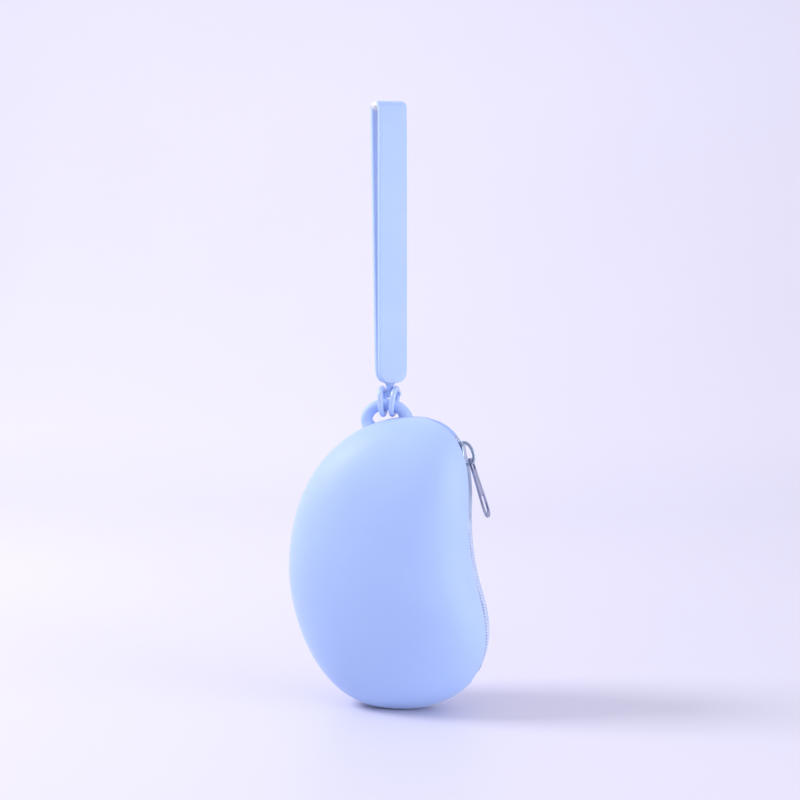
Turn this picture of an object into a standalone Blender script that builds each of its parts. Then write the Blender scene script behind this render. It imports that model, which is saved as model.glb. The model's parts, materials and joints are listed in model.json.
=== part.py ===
"""A bean-shaped silicone cosmetic pouch, hung by its wrist strap.

The pouch is modelled standing: its flat base lies on z = 0, its mid-plane is y = 0, the zip runs down
its right side (+x) and its front faces -y. One empty then lowers the whole object, so that the world's
origin is where the strap's top fold bears on whatever it hangs from.
"""

import math

import bmesh
import bpy
from mathutils import Matrix, Vector

MM = 0.001

# Gap between two pieces that touch or run on each other
FIT_GAP = 0.3 * MM

# Pouch outline in the mid-plane: five places where its edge runs level or upright
POUCH_HEIGHT = 113.0 * MM
TOP_X = 11.0 * MM
LEFT_REACH = 39.0 * MM
LEFT_Z = 53.5 * MM
WAIST_REACH = 32.8 * MM
WAIST_Z = 81.0 * MM
LOBE_REACH = 39.9 * MM
LOBE_Z = 28.5 * MM
BOTTOM_X = 2.5 * MM
# How far the round bottom would reach below the flat that it stands on
BASE_CUT = 1.0 * MM

# Length of the curve's handle before and after each of those places
LEFT_HANDLES = (17.5 * MM, 37.0 * MM)
TOP_HANDLES = (27.5 * MM, 22.0 * MM)
WAIST_HANDLES = (10.5 * MM, 33.0 * MM)
LOBE_HANDLES = (17.5 * MM, 13.5 * MM)
BOTTOM_HANDLES = (26.5 * MM, 31.5 * MM)

# Pillow between the two faces
POUCH_DEPTH = 46.0 * MM
PILLOW_POWER = 2.25
WALL = 2.2 * MM
OUTLINE_STEPS = 14
PILLOW_LAYERS = 8

# Carry ring, a rounded arch moulded onto the top edge
RING_X = -0.3 * MM
RING_HALF_WIDTH = 8.2 * MM
RING_RISE = 8.3 * MM
RING_FOOT_DROP = 4.0 * MM
RING_LEG = 6.0 * MM
RING_BAR_R = 2.35 * MM
RING_FOOT_R = 2.9 * MM
RING_POWER = 2.4
RING_STEPS = 18

# Zip: the slot between the silicone lips, and the chain that runs in its middle
SLOT_WIDTH = 8.4 * MM
LIP_BEND_R = 14.0 * MM
SLOT_ABOVE = 5.0 * MM
SLOT_BELOW = 3.6 * MM
REBATE_BELOW = 5.0 * MM
ZIP_START_SHARE = 0.03
ZIP_CORNER_SHARE = 0.08
ZIP_LOBE_SHARE = 0.7
ZIP_END_Z = 12.5 * MM
ZIP_RECESS = 0.3 * MM
TOOTH_HEIGHT = 1.5 * MM
TOOTH_TIP_Y = 0.45 * MM
TOOTH_ROOT_Y = 1.5 * MM
TOOTH_BACK_Y = 2.4 * MM
TOOTH_PITCH = 1.8 * MM
TAPE_THICK = 0.5 * MM
TAPE_EDGE_Y = 0.6 * MM
TAPE_UNDER_LIP = 2.8 * MM
TAPE_PAST_SLOT = 2.5 * MM

# Straight run of the chain, on which the slider travels
RUN_TOP_DROP = 11.6 * MM
RUN_TOP_INSET = 3.65 * MM
RUN_BOTTOM_Z = 55.0 * MM
RUN_BOTTOM_OUTSET = 1.5 * MM
RUN_TOP_HANDLES = (2.5 * MM, 7.5 * MM)
RUN_BOTTOM_HANDLES = (4.0 * MM, 4.0 * MM)
STOP_LENGTH = 1.8 * MM
STOP_SKIN = 0.5 * MM
STOP_MARGIN = 2.7 * MM

# Slider
SLIDER_LENGTH = 10.0 * MM
SLIDER_NOSE = 2.0 * MM
SLIDER_WIDTH = 7.2 * MM
SLIDER_PLATE = 1.0 * MM
SLIDER_REST_DROP = 5.2 * MM
SLIDER_FLANGE = 0.6 * MM
POST_THICK = 0.4 * MM
POST_LENGTH = 1.8 * MM
BRIDGE_WIDTH = 1.4 * MM
BRIDGE_BAR = 1.3 * MM
BRIDGE_RISE = 3.35 * MM
BRIDGE_TOP = 6.3 * MM
BRIDGE_TAIL = 2.2 * MM

# Pull tab, hung in the bridge
TAB_LENGTH = 23.2 * MM
TAB_WIDTH = 6.4 * MM
TAB_NECK_WIDTH = 4.6 * MM
TAB_WAIST_DROP = 6.0 * MM
TAB_THICK = 1.2 * MM
TAB_EYE_LENGTH = 3.4 * MM
TAB_EYE_SIDE_GAP = 0.8 * MM
TAB_WINDOW_LENGTH = 8.5 * MM
TAB_WINDOW_WIDTH = 3.2 * MM
TAB_END_MARGIN = 1.6 * MM
TAB_REST_DEG = 17.5

# Link: a pin through the strap's eye carries two hoops that go round the ring's bar
PIN_R = 0.7 * MM
PIN_X = 0.75 * MM
PIN_HEAD_R = 1.3 * MM
PIN_HEAD_THICK = 0.5 * MM
EYE_R = 1.5 * MM
EYE_WIDTH = 2.5 * MM
HOOP_WIRE_R = 1.1 * MM
HOOP_HALF_WIDTH = 4.0 * MM
HOOP_LEFT_LEAN = 3.0
HOOP_RIGHT_LEAN = 9.0

# Wrist strap
STRAP_LENGTH = 110.0 * MM
STRAP_WIDTH = 12.9 * MM
STRAP_THICK = 2.6 * MM
STRAP_LOOP_GAP = 2.2 * MM
STRAP_CORNER_R = 3.8 * MM
STRAP_EDGE_R = 0.6 * MM
STRAP_TAIL = 6.0 * MM
STRAP_TURN = 45.0
STRAP_X = 0.7 * MM
NECK_WIDTH = 2.5 * MM
NECK_DEPTH = 2.6 * MM
NECK_LENGTH = 2.7 * MM

BLUE = (0.42, 0.56, 0.94, 1.0)
PALE_BLUE = (0.50, 0.64, 0.93, 1.0)
TAPE_GREY = (0.40, 0.46, 0.62, 1.0)
TOOTH_GREY = (0.33, 0.38, 0.52, 1.0)
STEEL = (0.30, 0.32, 0.38, 1.0)


def clear_scene():
    for found in list(bpy.data.objects):
        bpy.data.objects.remove(found)


def material(name, colour, roughness, metallic):
    made = bpy.data.materials.new(name)
    made.use_nodes = True
    shader = made.node_tree.nodes["Principled BSDF"]
    shader.inputs["Base Color"].default_value = colour
    shader.inputs["Roughness"].default_value = roughness
    shader.inputs["Metallic"].default_value = metallic
    return made


def add_empty(name, place, parent=None, turn=(0, 0, 0)):
    empty = bpy.data.objects.new(name, None)
    bpy.context.scene.collection.objects.link(empty)
    empty.parent = parent
    empty.location = place
    empty.rotation_euler = turn
    return empty


def add_object(name, mesh_maker, finish, parent, place=(0, 0, 0), turn=(0, 0, 0)):
    """One named piece, built by mesh_maker(bm), shaded smooth except along its real edges."""
    bm = bmesh.new()
    mesh_maker(bm)
    bmesh.ops.recalc_face_normals(bm, faces=bm.faces)
    mesh = bpy.data.meshes.new(name)
    bm.to_mesh(mesh)
    bm.free()
    mesh.shade_smooth()
    mesh.set_sharp_from_angle(angle=math.radians(35))
    mesh.materials.append(finish)
    made = bpy.data.objects.new(name, mesh)
    bpy.context.scene.collection.objects.link(made)
    made.parent = parent
    made.location = place
    made.rotation_euler = turn
    return made


def cutter(name, mesh_maker, parent, place=(0, 0, 0), turn=(0, 0, 0)):
    made = add_object(name, mesh_maker, None, parent, place, turn)
    made.hide_render = True
    made.display_type = "WIRE"
    return made


def combine(target, other, operation):
    step = target.modifiers.new(other.name, "BOOLEAN")
    step.operation = operation
    step.object = other
    step.solver = "EXACT"


def bevel(target, width, segments=2):
    step = target.modifiers.new("round_edges", "BEVEL")
    step.width = width
    step.segments = segments
    step.limit_method = "ANGLE"
    step.angle_limit = math.radians(35)


def bezier(start, start_heading, start_handle, end, end_heading, end_handle, steps):
    """Points of one curve piece, its end left out, each as (x, z)."""
    first, last = Vector(start), Vector(end)
    second = first + Vector(start_heading) * start_handle
    third = last - Vector(end_heading) * end_handle
    points = []
    for step in range(steps):
        t = step / steps
        point = first * (1 - t) ** 3 + second * 3 * t * (1 - t) ** 2
        points.append(point + third * 3 * t * t * (1 - t) + last * t**3)
    return points


def outline_knots():
    """Places where the pouch's edge runs level or upright, clockwise from its leftmost point."""
    return [
        ((-LEFT_REACH, LEFT_Z), (0, 1), LEFT_HANDLES),
        ((TOP_X, POUCH_HEIGHT), (1, 0), TOP_HANDLES),
        ((WAIST_REACH, WAIST_Z), (0, -1), WAIST_HANDLES),
        ((LOBE_REACH, LOBE_Z), (0, -1), LOBE_HANDLES),
        ((BOTTOM_X, -BASE_CUT), (-1, 0), BOTTOM_HANDLES),
    ]


def outline_piece(index, steps):
    """The edge from one knot to the next, whose own point is left out."""
    knots = outline_knots()
    here, after = knots[index], knots[(index + 1) % len(knots)]
    return bezier(here[0], here[1], here[2][1], after[0], after[1], after[2][0], steps)


def pouch_outline(steps):
    points = []
    for index in range(len(outline_knots())):
        points += outline_piece(index, steps)
    return points


def side_normals(points, closed):
    """The unit normal on the left of the direction of travel, at each point of an (x, z) path."""
    normals = []
    for index, point in enumerate(points):
        before = points[index - 1] if closed or index else point
        after = points[(index + 1) % len(points)] if closed or index + 1 < len(points) else point
        run = (after - before).normalized()
        normals.append(Vector((-run.y, run.x)))
    return normals


def skin(bm, rings):
    """Joins closed rings of points into a tube and closes its two ends."""
    made = [[bm.verts.new(point) for point in ring] for ring in rings]
    for here, after in zip(made, made[1:]):
        for index in range(len(here)):
            other = (index + 1) % len(here)
            bm.faces.new((here[index], here[other], after[other], after[index]))
    bm.faces.new(made[0])
    bm.faces.new(made[-1])


def pillow(bm, inset):
    """The pouch's bulging body, or its cavity when inset is the wall, cut level at its base."""
    outline = pouch_outline(OUTLINE_STEPS)
    normals = side_normals(outline, closed=True)
    edge = [point - normal * inset for point, normal in zip(outline, normals)]
    middle = Vector(((LOBE_REACH - LEFT_REACH) / 2, POUCH_HEIGHT / 2))
    half_depth = POUCH_DEPTH / 2 - inset
    rings = []
    for layer in range(-PILLOW_LAYERS + 1, PILLOW_LAYERS):
        angle = layer / PILLOW_LAYERS * math.pi / 2
        share = math.cos(angle) ** (2 / PILLOW_POWER)
        depth = math.copysign(abs(math.sin(angle)) ** (2 / PILLOW_POWER), angle) * half_depth
        ring = [middle + (point - middle) * share for point in edge]
        rings.append([bm.verts.new((point.x, depth, point.y)) for point in ring])
    count = len(edge)
    for here, after in zip(rings, rings[1:]):
        for index in range(count):
            other = (index + 1) % count
            bm.faces.new((here[index], here[other], after[other], after[index]))
    for ring, side in ((rings[0], -1), (rings[-1], 1)):
        pole = bm.verts.new((middle.x, side * half_depth, middle.y))
        for index in range(count):
            bm.faces.new((ring[index], ring[(index + 1) % count], pole))
    level = Vector((0, 0, inset))
    everything = bm.verts[:] + bm.edges[:] + bm.faces[:]
    bmesh.ops.bisect_plane(bm, geom=everything, plane_co=level, plane_no=(0, 0, 1), clear_inner=True)
    open_edges = [edge for edge in bm.edges if edge.is_boundary]
    bmesh.ops.contextual_create(bm, geom=open_edges)


def ring_centre_z(x):
    """Height of the ring bar's centre line at x."""
    share = (1 - abs((x - RING_X) / RING_HALF_WIDTH) ** RING_POWER) ** (1 / RING_POWER)
    return POUCH_HEIGHT - RING_FOOT_DROP + RING_RISE * share


def ring_path():
    foot = POUCH_HEIGHT - RING_FOOT_DROP
    path = [Vector((RING_X - RING_HALF_WIDTH, foot - RING_LEG))]
    for step in range(RING_STEPS + 1):
        angle = math.pi * (1 - step / RING_STEPS)
        across = math.copysign(abs(math.cos(angle)) ** (2 / RING_POWER), math.cos(angle))
        up = math.sin(angle) ** (2 / RING_POWER) if 0 < step < RING_STEPS else 0
        path.append(Vector((RING_X + RING_HALF_WIDTH * across, foot + RING_RISE * up)))
    path.append(Vector((RING_X + RING_HALF_WIDTH, foot - RING_LEG)))
    return path


def ring_bar(bm, sides=12):
    """The ring's round bar, which swells towards its feet."""
    foot = POUCH_HEIGHT - RING_FOOT_DROP
    path = ring_path()
    rings = []
    for point, normal in zip(path, side_normals(path, closed=False)):
        fall = 1 - min(1, max(0, (point.y - foot) / RING_RISE))
        radius = RING_BAR_R + (RING_FOOT_R - RING_BAR_R) * fall**2
        ring = []
        for side in range(sides):
            angle = 2 * math.pi * side / sides
            out = normal * radius * math.cos(angle)
            ring.append((point.x + out.x, radius * math.sin(angle), point.y + out.y))
        rings.append(ring)
    skin(bm, rings)


def run_ends():
    """Top and bottom of the chain's straight run, and its heading downwards."""
    top = Vector((WAIST_REACH - RUN_TOP_INSET, POUCH_HEIGHT - RUN_TOP_DROP))
    bottom = Vector((WAIST_REACH + RUN_BOTTOM_OUTSET, RUN_BOTTOM_Z))
    return top, bottom, (bottom - top).normalized()


def zip_path():
    """The middle of the chain's outer face from the top of the slot to its end, as (x, z)."""
    steps = 100
    edges = [outline_piece(index, steps) for index in (1, 2, 3)]
    whole = edges[0] + edges[1] + edges[2]
    inset = [point - normal * ZIP_RECESS for point, normal in zip(whole, side_normals(whole, closed=False))]
    start, corner = round(ZIP_START_SHARE * steps), round(ZIP_CORNER_SHARE * steps)
    lobe = steps + round(ZIP_LOBE_SHARE * steps)
    top, bottom, heading = run_ends()
    away = (inset[corner + 1] - inset[corner]).normalized()
    back = (inset[lobe + 1] - inset[lobe]).normalized()
    path = inset[start:corner:3]
    path += bezier(inset[corner], away, RUN_TOP_HANDLES[0], top, heading, RUN_TOP_HANDLES[1], 14)
    path += [top + (bottom - top) * (step / 6) for step in range(6)]
    path += bezier(bottom, heading, RUN_BOTTOM_HANDLES[0], inset[lobe], back, RUN_BOTTOM_HANDLES[1], 8)
    return path + [point for point in inset[lobe::4] if point.y >= ZIP_END_Z]


def path_lengths(path):
    lengths = [0.0]
    for here, after in zip(path, path[1:]):
        lengths.append(lengths[-1] + (after - here).length)
    return lengths


def along(path, distance):
    """Point and outward normal at a distance along a path; beyond its ends the path runs on straight."""
    lengths = path_lengths(path)
    index = 0
    while index < len(path) - 2 and lengths[index + 1] < distance:
        index += 1
    here, after = path[index], path[index + 1]
    share = (distance - lengths[index]) / (lengths[index + 1] - lengths[index])
    run = (after - here).normalized()
    return here + (after - here) * share, Vector((-run.y, run.x))


def stations(path, start, end, spacing):
    count = max(2, math.ceil((end - start) / spacing))
    places = [start + (end - start) * step / count for step in range(count + 1)]
    ends = [along(path, place) for place in places]
    normals = side_normals([point for point, _ in ends], closed=False)
    return [(place, point, normal) for place, (point, _), normal in zip(places, ends, normals)]


def lip_bend(y):
    """How far the lips fall away from the chain's plane at a distance from the mid-plane."""
    return y * y / (2 * LIP_BEND_R)


def section_ring(point, normal, section):
    return [(point.x + normal.x * out, y, point.y + normal.y * out) for y, out in section]


def slot_cutter(bm):
    """The zip's slot, as wide as SLOT_WIDTH with round ends."""
    path = zip_path()
    length = path_lengths(path)[-1]
    radius = SLOT_WIDTH / 2
    places = [radius * (1 - math.cos(math.radians(angle))) for angle in (12, 30, 50, 70, 90)]
    inner = [place for place, _, _ in stations(path, radius, length - radius, 2.5 * MM)][1:-1]
    places += inner + [length - place for place in reversed(places)]
    rings = []
    for place in places:
        point, normal = along(path, place)
        short = max(0.0, radius - min(place, length - place))
        half = math.sqrt(radius * radius - short * short)
        section = [(-half, SLOT_ABOVE), (half, SLOT_ABOVE), (half, -SLOT_BELOW), (-half, -SLOT_BELOW)]
        rings.append(section_ring(point, normal, section))
    skin(bm, rings)


def rebate_cutter(bm):
    """Room behind the lips for the tapes' outer edges."""
    path = zip_path()
    length = path_lengths(path)[-1]
    half = SLOT_WIDTH / 2 + TAPE_UNDER_LIP + 2 * FIT_GAP
    across = [half * step / 4 for step in range(-4, 5)]
    ceiling = [(y, -TOOTH_HEIGHT - lip_bend(y)) for y in across]
    section = ceiling + [(half, -REBATE_BELOW), (-half, -REBATE_BELOW)]
    past = TAPE_PAST_SLOT + 2 * FIT_GAP
    rings = []
    for _, point, normal in stations(path, -past, length + past, 2.5 * MM):
        rings.append(section_ring(point, normal, section))
    skin(bm, rings)


def pouch_body(parent):
    body = add_object("pouch_body", lambda bm: pillow(bm, 0), material("silicone", BLUE, 0.5, 0), parent)
    ring = cutter("ring_shape", ring_bar, parent)
    cavity = cutter("cavity_shape", lambda bm: pillow(bm, WALL), parent)
    combine(body, ring, "UNION")
    combine(body, cavity, "DIFFERENCE")
    combine(body, cutter("rebate_shape", rebate_cutter, parent), "DIFFERENCE")
    combine(body, cutter("slot_shape", slot_cutter, parent), "DIFFERENCE")


def tape(bm, side):
    """One woven tape: under the teeth, across the slot and on under the lip."""
    path = zip_path()
    length = path_lengths(path)[-1]
    outer = SLOT_WIDTH / 2 + TAPE_UNDER_LIP
    across = [TAPE_EDGE_Y + (outer - TAPE_EDGE_Y) * step / 3 for step in range(4)]
    top = -TOOTH_HEIGHT - FIT_GAP
    upper = [(side * y, top - lip_bend(y)) for y in across]
    lower = [(side * y, top - lip_bend(y) - TAPE_THICK) for y in reversed(across)]
    rings = []
    for _, point, normal in stations(path, -TAPE_PAST_SLOT, length + TAPE_PAST_SLOT, 2.2 * MM):
        rings.append(section_ring(point, normal, upper + lower))
    skin(bm, rings)


def stop_places():
    """Where the top stops end and the bottom stop begins, measured along the chain."""
    path = zip_path()
    top, _, _ = run_ends()
    lengths = path_lengths(path)
    run_start = min(range(len(path)), key=lambda index: (path[index] - top).length)
    above_slider = lengths[run_start] - SLIDER_NOSE - 2 * FIT_GAP
    return above_slider, lengths[-1] - STOP_MARGIN - STOP_LENGTH


def teeth(bm, side):
    """One row of teeth: a rail with a tooth at each pitch."""
    path = zip_path()
    first, last = stop_places()
    first, last = first + FIT_GAP, last - FIT_GAP
    count = int((last - first) / TOOTH_PITCH)
    pitch = (last - first) / (count + 0.5)
    grid = []
    for step in range(2 * count + 2):
        point, normal = along(path, first + pitch * step / 2)
        corners = [(TOOTH_TIP_Y, 0), (TOOTH_ROOT_Y, 0), (TOOTH_BACK_Y, 0)]
        corners += [(y, -TOOTH_HEIGHT) for y, _ in reversed(corners)]
        ring = section_ring(point, normal, [(side * y, out) for y, out in corners])
        grid.append([bm.verts.new(place) for place in ring])
    for step, (here, after) in enumerate(zip(grid, grid[1:])):
        is_tooth = step % 2 == 0
        strips = [(1, 2), (2, 3), (3, 4)] + ([(0, 1), (4, 5), (5, 0)] if is_tooth else [(4, 1)])
        for low, high in strips:
            bm.faces.new((here[low], here[high], after[high], after[low]))
        if is_tooth:
            bm.faces.new((here[0], here[1], here[4], here[5]))
            bm.faces.new((after[0], after[1], after[4], after[5]))
    for end in (grid[0], grid[-1]):
        bm.faces.new((end[1], end[2], end[3], end[4]))
    loose = [vert for vert in bm.verts if not vert.link_faces]
    bmesh.ops.delete(bm, geom=loose, context="VERTS")


def clip(bm, path, start, end, inner_y, outer_y):
    """A small metal stop as a block that stands a little proud of the teeth."""
    section = [
        (inner_y, STOP_SKIN),
        (outer_y, STOP_SKIN),
        (outer_y, -TOOTH_HEIGHT),
        (inner_y, -TOOTH_HEIGHT),
    ]
    rings = []
    for _, point, normal in stations(path, start, end, STOP_LENGTH):
        rings.append(section_ring(point, normal, section))
    skin(bm, rings)


def top_stop(bm, side):
    end, _ = stop_places()
    clip(bm, zip_path(), end - STOP_LENGTH, end, side * TOOTH_TIP_Y, side * TOOTH_BACK_Y)


def bottom_stop(bm):
    _, start = stop_places()
    clip(bm, zip_path(), start, start + STOP_LENGTH, -TOOTH_BACK_Y, TOOTH_BACK_Y)


def zip_parts(parent):
    tape_finish = material("zip_tape", TAPE_GREY, 0.85, 0)
    tooth_finish = material("zip_teeth", TOOTH_GREY, 0.45, 0)
    metal = material("stop_metal", STEEL, 0.3, 1)
    for name, side in (("front", -1), ("back", 1)):
        add_object(f"zip_tape_{name}", lambda bm, side=side: tape(bm, side), tape_finish, parent)
        add_object(f"zip_teeth_{name}", lambda bm, side=side: teeth(bm, side), tooth_finish, parent)
        add_object(f"zip_top_stop_{name}", lambda bm, side=side: top_stop(bm, side), metal, parent)
    add_object("zip_bottom_stop", bottom_stop, metal, parent)


def block(bm, low, high):
    """A box between two corners."""
    size = [b - a for a, b in zip(low, high)]
    middle = [(a + b) / 2 for a, b in zip(low, high)]
    bmesh.ops.create_cube(bm, size=1, matrix=Matrix.LocRotScale(middle, None, size))


def plate(bm, x_low, x_high, nose=0.0):
    """A slider plate, broad at its nose and narrower towards its tail. A nose makes it longer at the top."""
    half, width = SLIDER_LENGTH / 2, SLIDER_WIDTH / 2
    shape = [(0.5, 1), (0.85, 0.88), (1, 0.5), (1, 0.1), (0.92, -0.5), (0.74, -1)]
    right = [(width * across, half * up + (nose if up > 0.3 else 0)) for across, up in shape]
    outline = right + [(-y, z) for y, z in reversed(right)]
    skin(bm, [[(x, y, z) for y, z in outline] for x in (x_low, x_high)])


def bridge(bm, plate_top):
    """The slider's bridge, an arch over the outer plate that the tab hangs in."""
    shape = [(0, -0.15), (0, 0.18), (0.11, 0.55), (0.37, 0.88), (0.66, 1)]
    shape += [(0.87, 0.92), (0.97, 0.66), (1, 0.3), (1, -0.15)]
    span = BRIDGE_TOP + BRIDGE_TAIL
    path = [Vector((plate_top + BRIDGE_RISE * up, BRIDGE_TOP - span * down)) for down, up in shape]
    half, reach = BRIDGE_WIDTH / 2, BRIDGE_BAR / 2
    section = [(-half, -reach), (half, -reach), (half, reach), (-half, reach)]
    normals = side_normals(path, closed=False)
    skin(bm, [section_ring(point, normal, section) for point, normal in zip(path, normals)])


def slider(track):
    """Two plates joined by a thin post, with flanges that hold the teeth and the bridge on top."""
    top_under = FIT_GAP
    low_top = -TOOTH_HEIGHT - FIT_GAP - lip_bend(SLIDER_WIDTH / 2) - TAPE_THICK - FIT_GAP
    low_under = low_top - SLIDER_PLATE
    half, width = SLIDER_LENGTH / 2, SLIDER_WIDTH / 2
    plate_top = top_under + SLIDER_PLATE

    def upper_plate(bm):
        plate(bm, top_under, plate_top, SLIDER_NOSE)

    def under_plate(bm):
        plate(bm, low_under, low_top)

    def post(bm):
        nose = half * 0.9
        block(
            bm,
            (low_under + SLIDER_PLATE / 2, -POST_THICK / 2, nose - POST_LENGTH),
            (plate_top - SLIDER_PLATE / 2, POST_THICK / 2, nose),
        )

    def flange(bm, side):
        edges = sorted((side * (width * 0.98 - SLIDER_FLANGE), side * width * 0.98))
        block(
            bm,
            (-TOOTH_HEIGHT, edges[0], -half * 0.3),
            (plate_top - SLIDER_PLATE / 2, edges[1], half * 0.6),
        )

    body = add_object("zip_slider", upper_plate, material("slider_metal", STEEL, 0.25, 1), track)
    combine(body, cutter("under_plate_shape", under_plate, track), "UNION")
    combine(body, cutter("post_shape", post, track), "UNION")
    combine(body, cutter("flange_front_shape", lambda bm: flange(bm, -1), track), "UNION")
    combine(body, cutter("flange_back_shape", lambda bm: flange(bm, 1), track), "UNION")
    combine(body, cutter("bridge_shape", lambda bm: bridge(bm, plate_top), track), "UNION")
    bar_r = TAB_THICK / 2
    hinge_x = plate_top + BRIDGE_RISE - BRIDGE_BAR / 2 - FIT_GAP - bar_r
    hinge_z = -BRIDGE_TAIL + BRIDGE_BAR / 2 + 2 * FIT_GAP + bar_r
    return (hinge_x, 0, hinge_z)


def pull_tab(parent, place, turn):
    """A long flat tab. A round bar at its top turns under the bridge, and its lower half has a window."""
    half, neck, bar_r = TAB_WIDTH / 2, TAB_NECK_WIDTH / 2, TAB_THICK / 2
    eye_side = BRIDGE_WIDTH / 2 + TAB_EYE_SIDE_GAP
    shoulder = -bar_r - TAB_EYE_LENGTH

    def bar(bm):
        turned = Matrix.Rotation(math.pi / 2, 4, "X")
        bmesh.ops.create_cone(
            bm, cap_ends=True, segments=12, radius1=bar_r, radius2=bar_r, depth=2 * neck, matrix=turned
        )

    def sheet(bm):
        right = [(neck, 0), (neck, -TAB_WAIST_DROP), (half, -TAB_LENGTH + 1.6 * half)]
        right += [(half, -TAB_LENGTH + half), (half * 0.86, -TAB_LENGTH + half * 0.5)]
        right += [(half * 0.5, -TAB_LENGTH + half * 0.14), (half * 0.15, -TAB_LENGTH)]
        points = right + [(-y, z) for y, z in reversed(right)]
        skin(bm, [[(x, y, z) for y, z in points] for x in (-bar_r * 0.9, bar_r * 0.9)])

    def eye(bm):
        block(bm, (-TAB_THICK, -eye_side, shoulder), (TAB_THICK, eye_side, -bar_r * 0.8))

    def window(bm):
        low = -TAB_LENGTH + TAB_END_MARGIN
        across = TAB_WINDOW_WIDTH / 2
        block(bm, (-TAB_THICK, -across, low), (TAB_THICK, across, low + TAB_WINDOW_LENGTH))

    metal = material("tab_metal", STEEL, 0.22, 1)
    tab = add_object("pull_tab", bar, metal, parent, place, turn)
    combine(tab, cutter("tab_sheet_shape", sheet, parent, place, turn), "UNION")
    combine(tab, cutter("tab_eye_shape", eye, parent, place, turn), "DIFFERENCE")
    combine(tab, cutter("tab_window_shape", window, parent, place, turn), "DIFFERENCE")


def pin_z():
    """Height of the link pin: the strap's eye sits just above the ring's bar."""
    return ring_centre_z(PIN_X) + RING_BAR_R + FIT_GAP + EYE_R


def strap_bottom_z():
    return pin_z() + EYE_R + NECK_LENGTH


def hoop_reach():
    """Centre line of a hoop above and below the pin's axis."""
    above = PIN_R + FIT_GAP + HOOP_WIRE_R
    below = pin_z() - ring_centre_z(PIN_X) + RING_BAR_R + 1.5 * FIT_GAP + HOOP_WIRE_R
    return above, below


def hoop(bm):
    """A closed oval hoop of round wire, upright in the plane across the pin."""
    above, below = hoop_reach()
    straight = max(0.0, (above + below) / 2 - HOOP_HALF_WIDTH)
    middle = (above - below) / 2
    steps, sides = 24, 10
    rings = []
    for step in range(steps):
        angle = 2 * math.pi * step / steps
        out = Vector((0, math.cos(angle), math.sin(angle)))
        lift = math.copysign(straight, math.sin(angle)) if abs(math.sin(angle)) > 0.01 else 0
        rise = min(HOOP_HALF_WIDTH, (above + below) / 2)
        centre = Vector((0, HOOP_HALF_WIDTH * out.y, middle + lift + rise * out.z))
        ring = []
        for side in range(sides):
            turn = 2 * math.pi * side / sides
            offset = out * math.cos(turn) + Vector((1, 0, 0)) * math.sin(turn)
            ring.append(bm.verts.new(centre + offset * HOOP_WIRE_R))
        rings.append(ring)
    for here, after in zip(rings, rings[1:] + rings[:1]):
        for index in range(sides):
            other = (index + 1) % sides
            bm.faces.new((here[index], here[other], after[other], after[index]))


def hoop_offset():
    return EYE_WIDTH / 2 + FIT_GAP + HOOP_WIRE_R


def disc(bm, radius, x_low, x_high, segments=14):
    """A round bar along x between two places."""
    turned = Matrix.Translation(((x_low + x_high) / 2, 0, 0)) @ Matrix.Rotation(math.pi / 2, 4, "Y")
    bmesh.ops.create_cone(
        bm,
        cap_ends=True,
        segments=segments,
        radius1=radius,
        radius2=radius,
        depth=x_high - x_low,
        matrix=turned,
    )


def links(parent):
    paint = material("link_paint", PALE_BLUE, 0.35, 0.2)
    place = (PIN_X, 0, pin_z())
    above, _ = hoop_reach()
    out = hoop_offset()
    lean_left = -math.radians(HOOP_LEFT_LEAN)
    lean_right = math.radians(HOOP_RIGHT_LEAN)
    add_object("link_left", hoop, paint, parent, (PIN_X - out, 0, pin_z()), (0, lean_left, 0))
    add_object("link_right", hoop, paint, parent, (PIN_X + out, 0, pin_z()), (0, lean_right, 0))
    left_face = -out - HOOP_WIRE_R - above * math.tan(-lean_left) - FIT_GAP
    right_face = out + HOOP_WIRE_R + above * math.tan(lean_right) + FIT_GAP
    pin = add_object("link_pin", lambda bm: disc(bm, PIN_R, left_face, right_face), paint, parent, place)
    head = cutter(
        "pin_head_shape",
        lambda bm: disc(bm, PIN_HEAD_R, left_face - PIN_HEAD_THICK, left_face),
        parent,
        place,
    )
    combine(pin, head, "UNION")
    cap_face = right_face + FIT_GAP
    add_object(
        "link_pin_cap",
        lambda bm: disc(bm, PIN_HEAD_R, cap_face, cap_face + PIN_HEAD_THICK),
        paint,
        parent,
        place,
    )


def strap_side(bm):
    """The strap seen from its edge. Its front band hangs straight, and its back band closes in below."""
    half_gap = STRAP_LOOP_GAP / 2
    half_top = half_gap + STRAP_THICK
    low, high = strap_bottom_z(), strap_bottom_z() + STRAP_LENGTH
    steps = 10
    arc = [math.pi * step / steps for step in range(steps + 1)]
    points = [(STRAP_THICK - half_gap, low)]
    points += [(half_top * math.cos(a), high - half_top + half_top * math.sin(a)) for a in arc]
    points += [(-half_top, low)]
    reach = STRAP_WIDTH
    skin(bm, [[(x, y, z) for y, z in points] for x in (-reach, reach)])


def strap_gap(bm):
    """The narrow inside of the loop."""
    half_gap = STRAP_LOOP_GAP / 2
    low, high = strap_bottom_z() + STRAP_TAIL, strap_bottom_z() + STRAP_LENGTH
    steps = 8
    arc = [math.pi * step / steps for step in range(steps + 1)]
    centre = high - half_gap - STRAP_THICK
    points = [(FIT_GAP - half_gap, low)]
    points += [(half_gap * math.cos(a), centre + half_gap * math.sin(a)) for a in arc]
    points += [(-half_gap, low)]
    reach = STRAP_WIDTH
    skin(bm, [[(x, y, z) for y, z in points] for x in (-reach, reach)])


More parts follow.
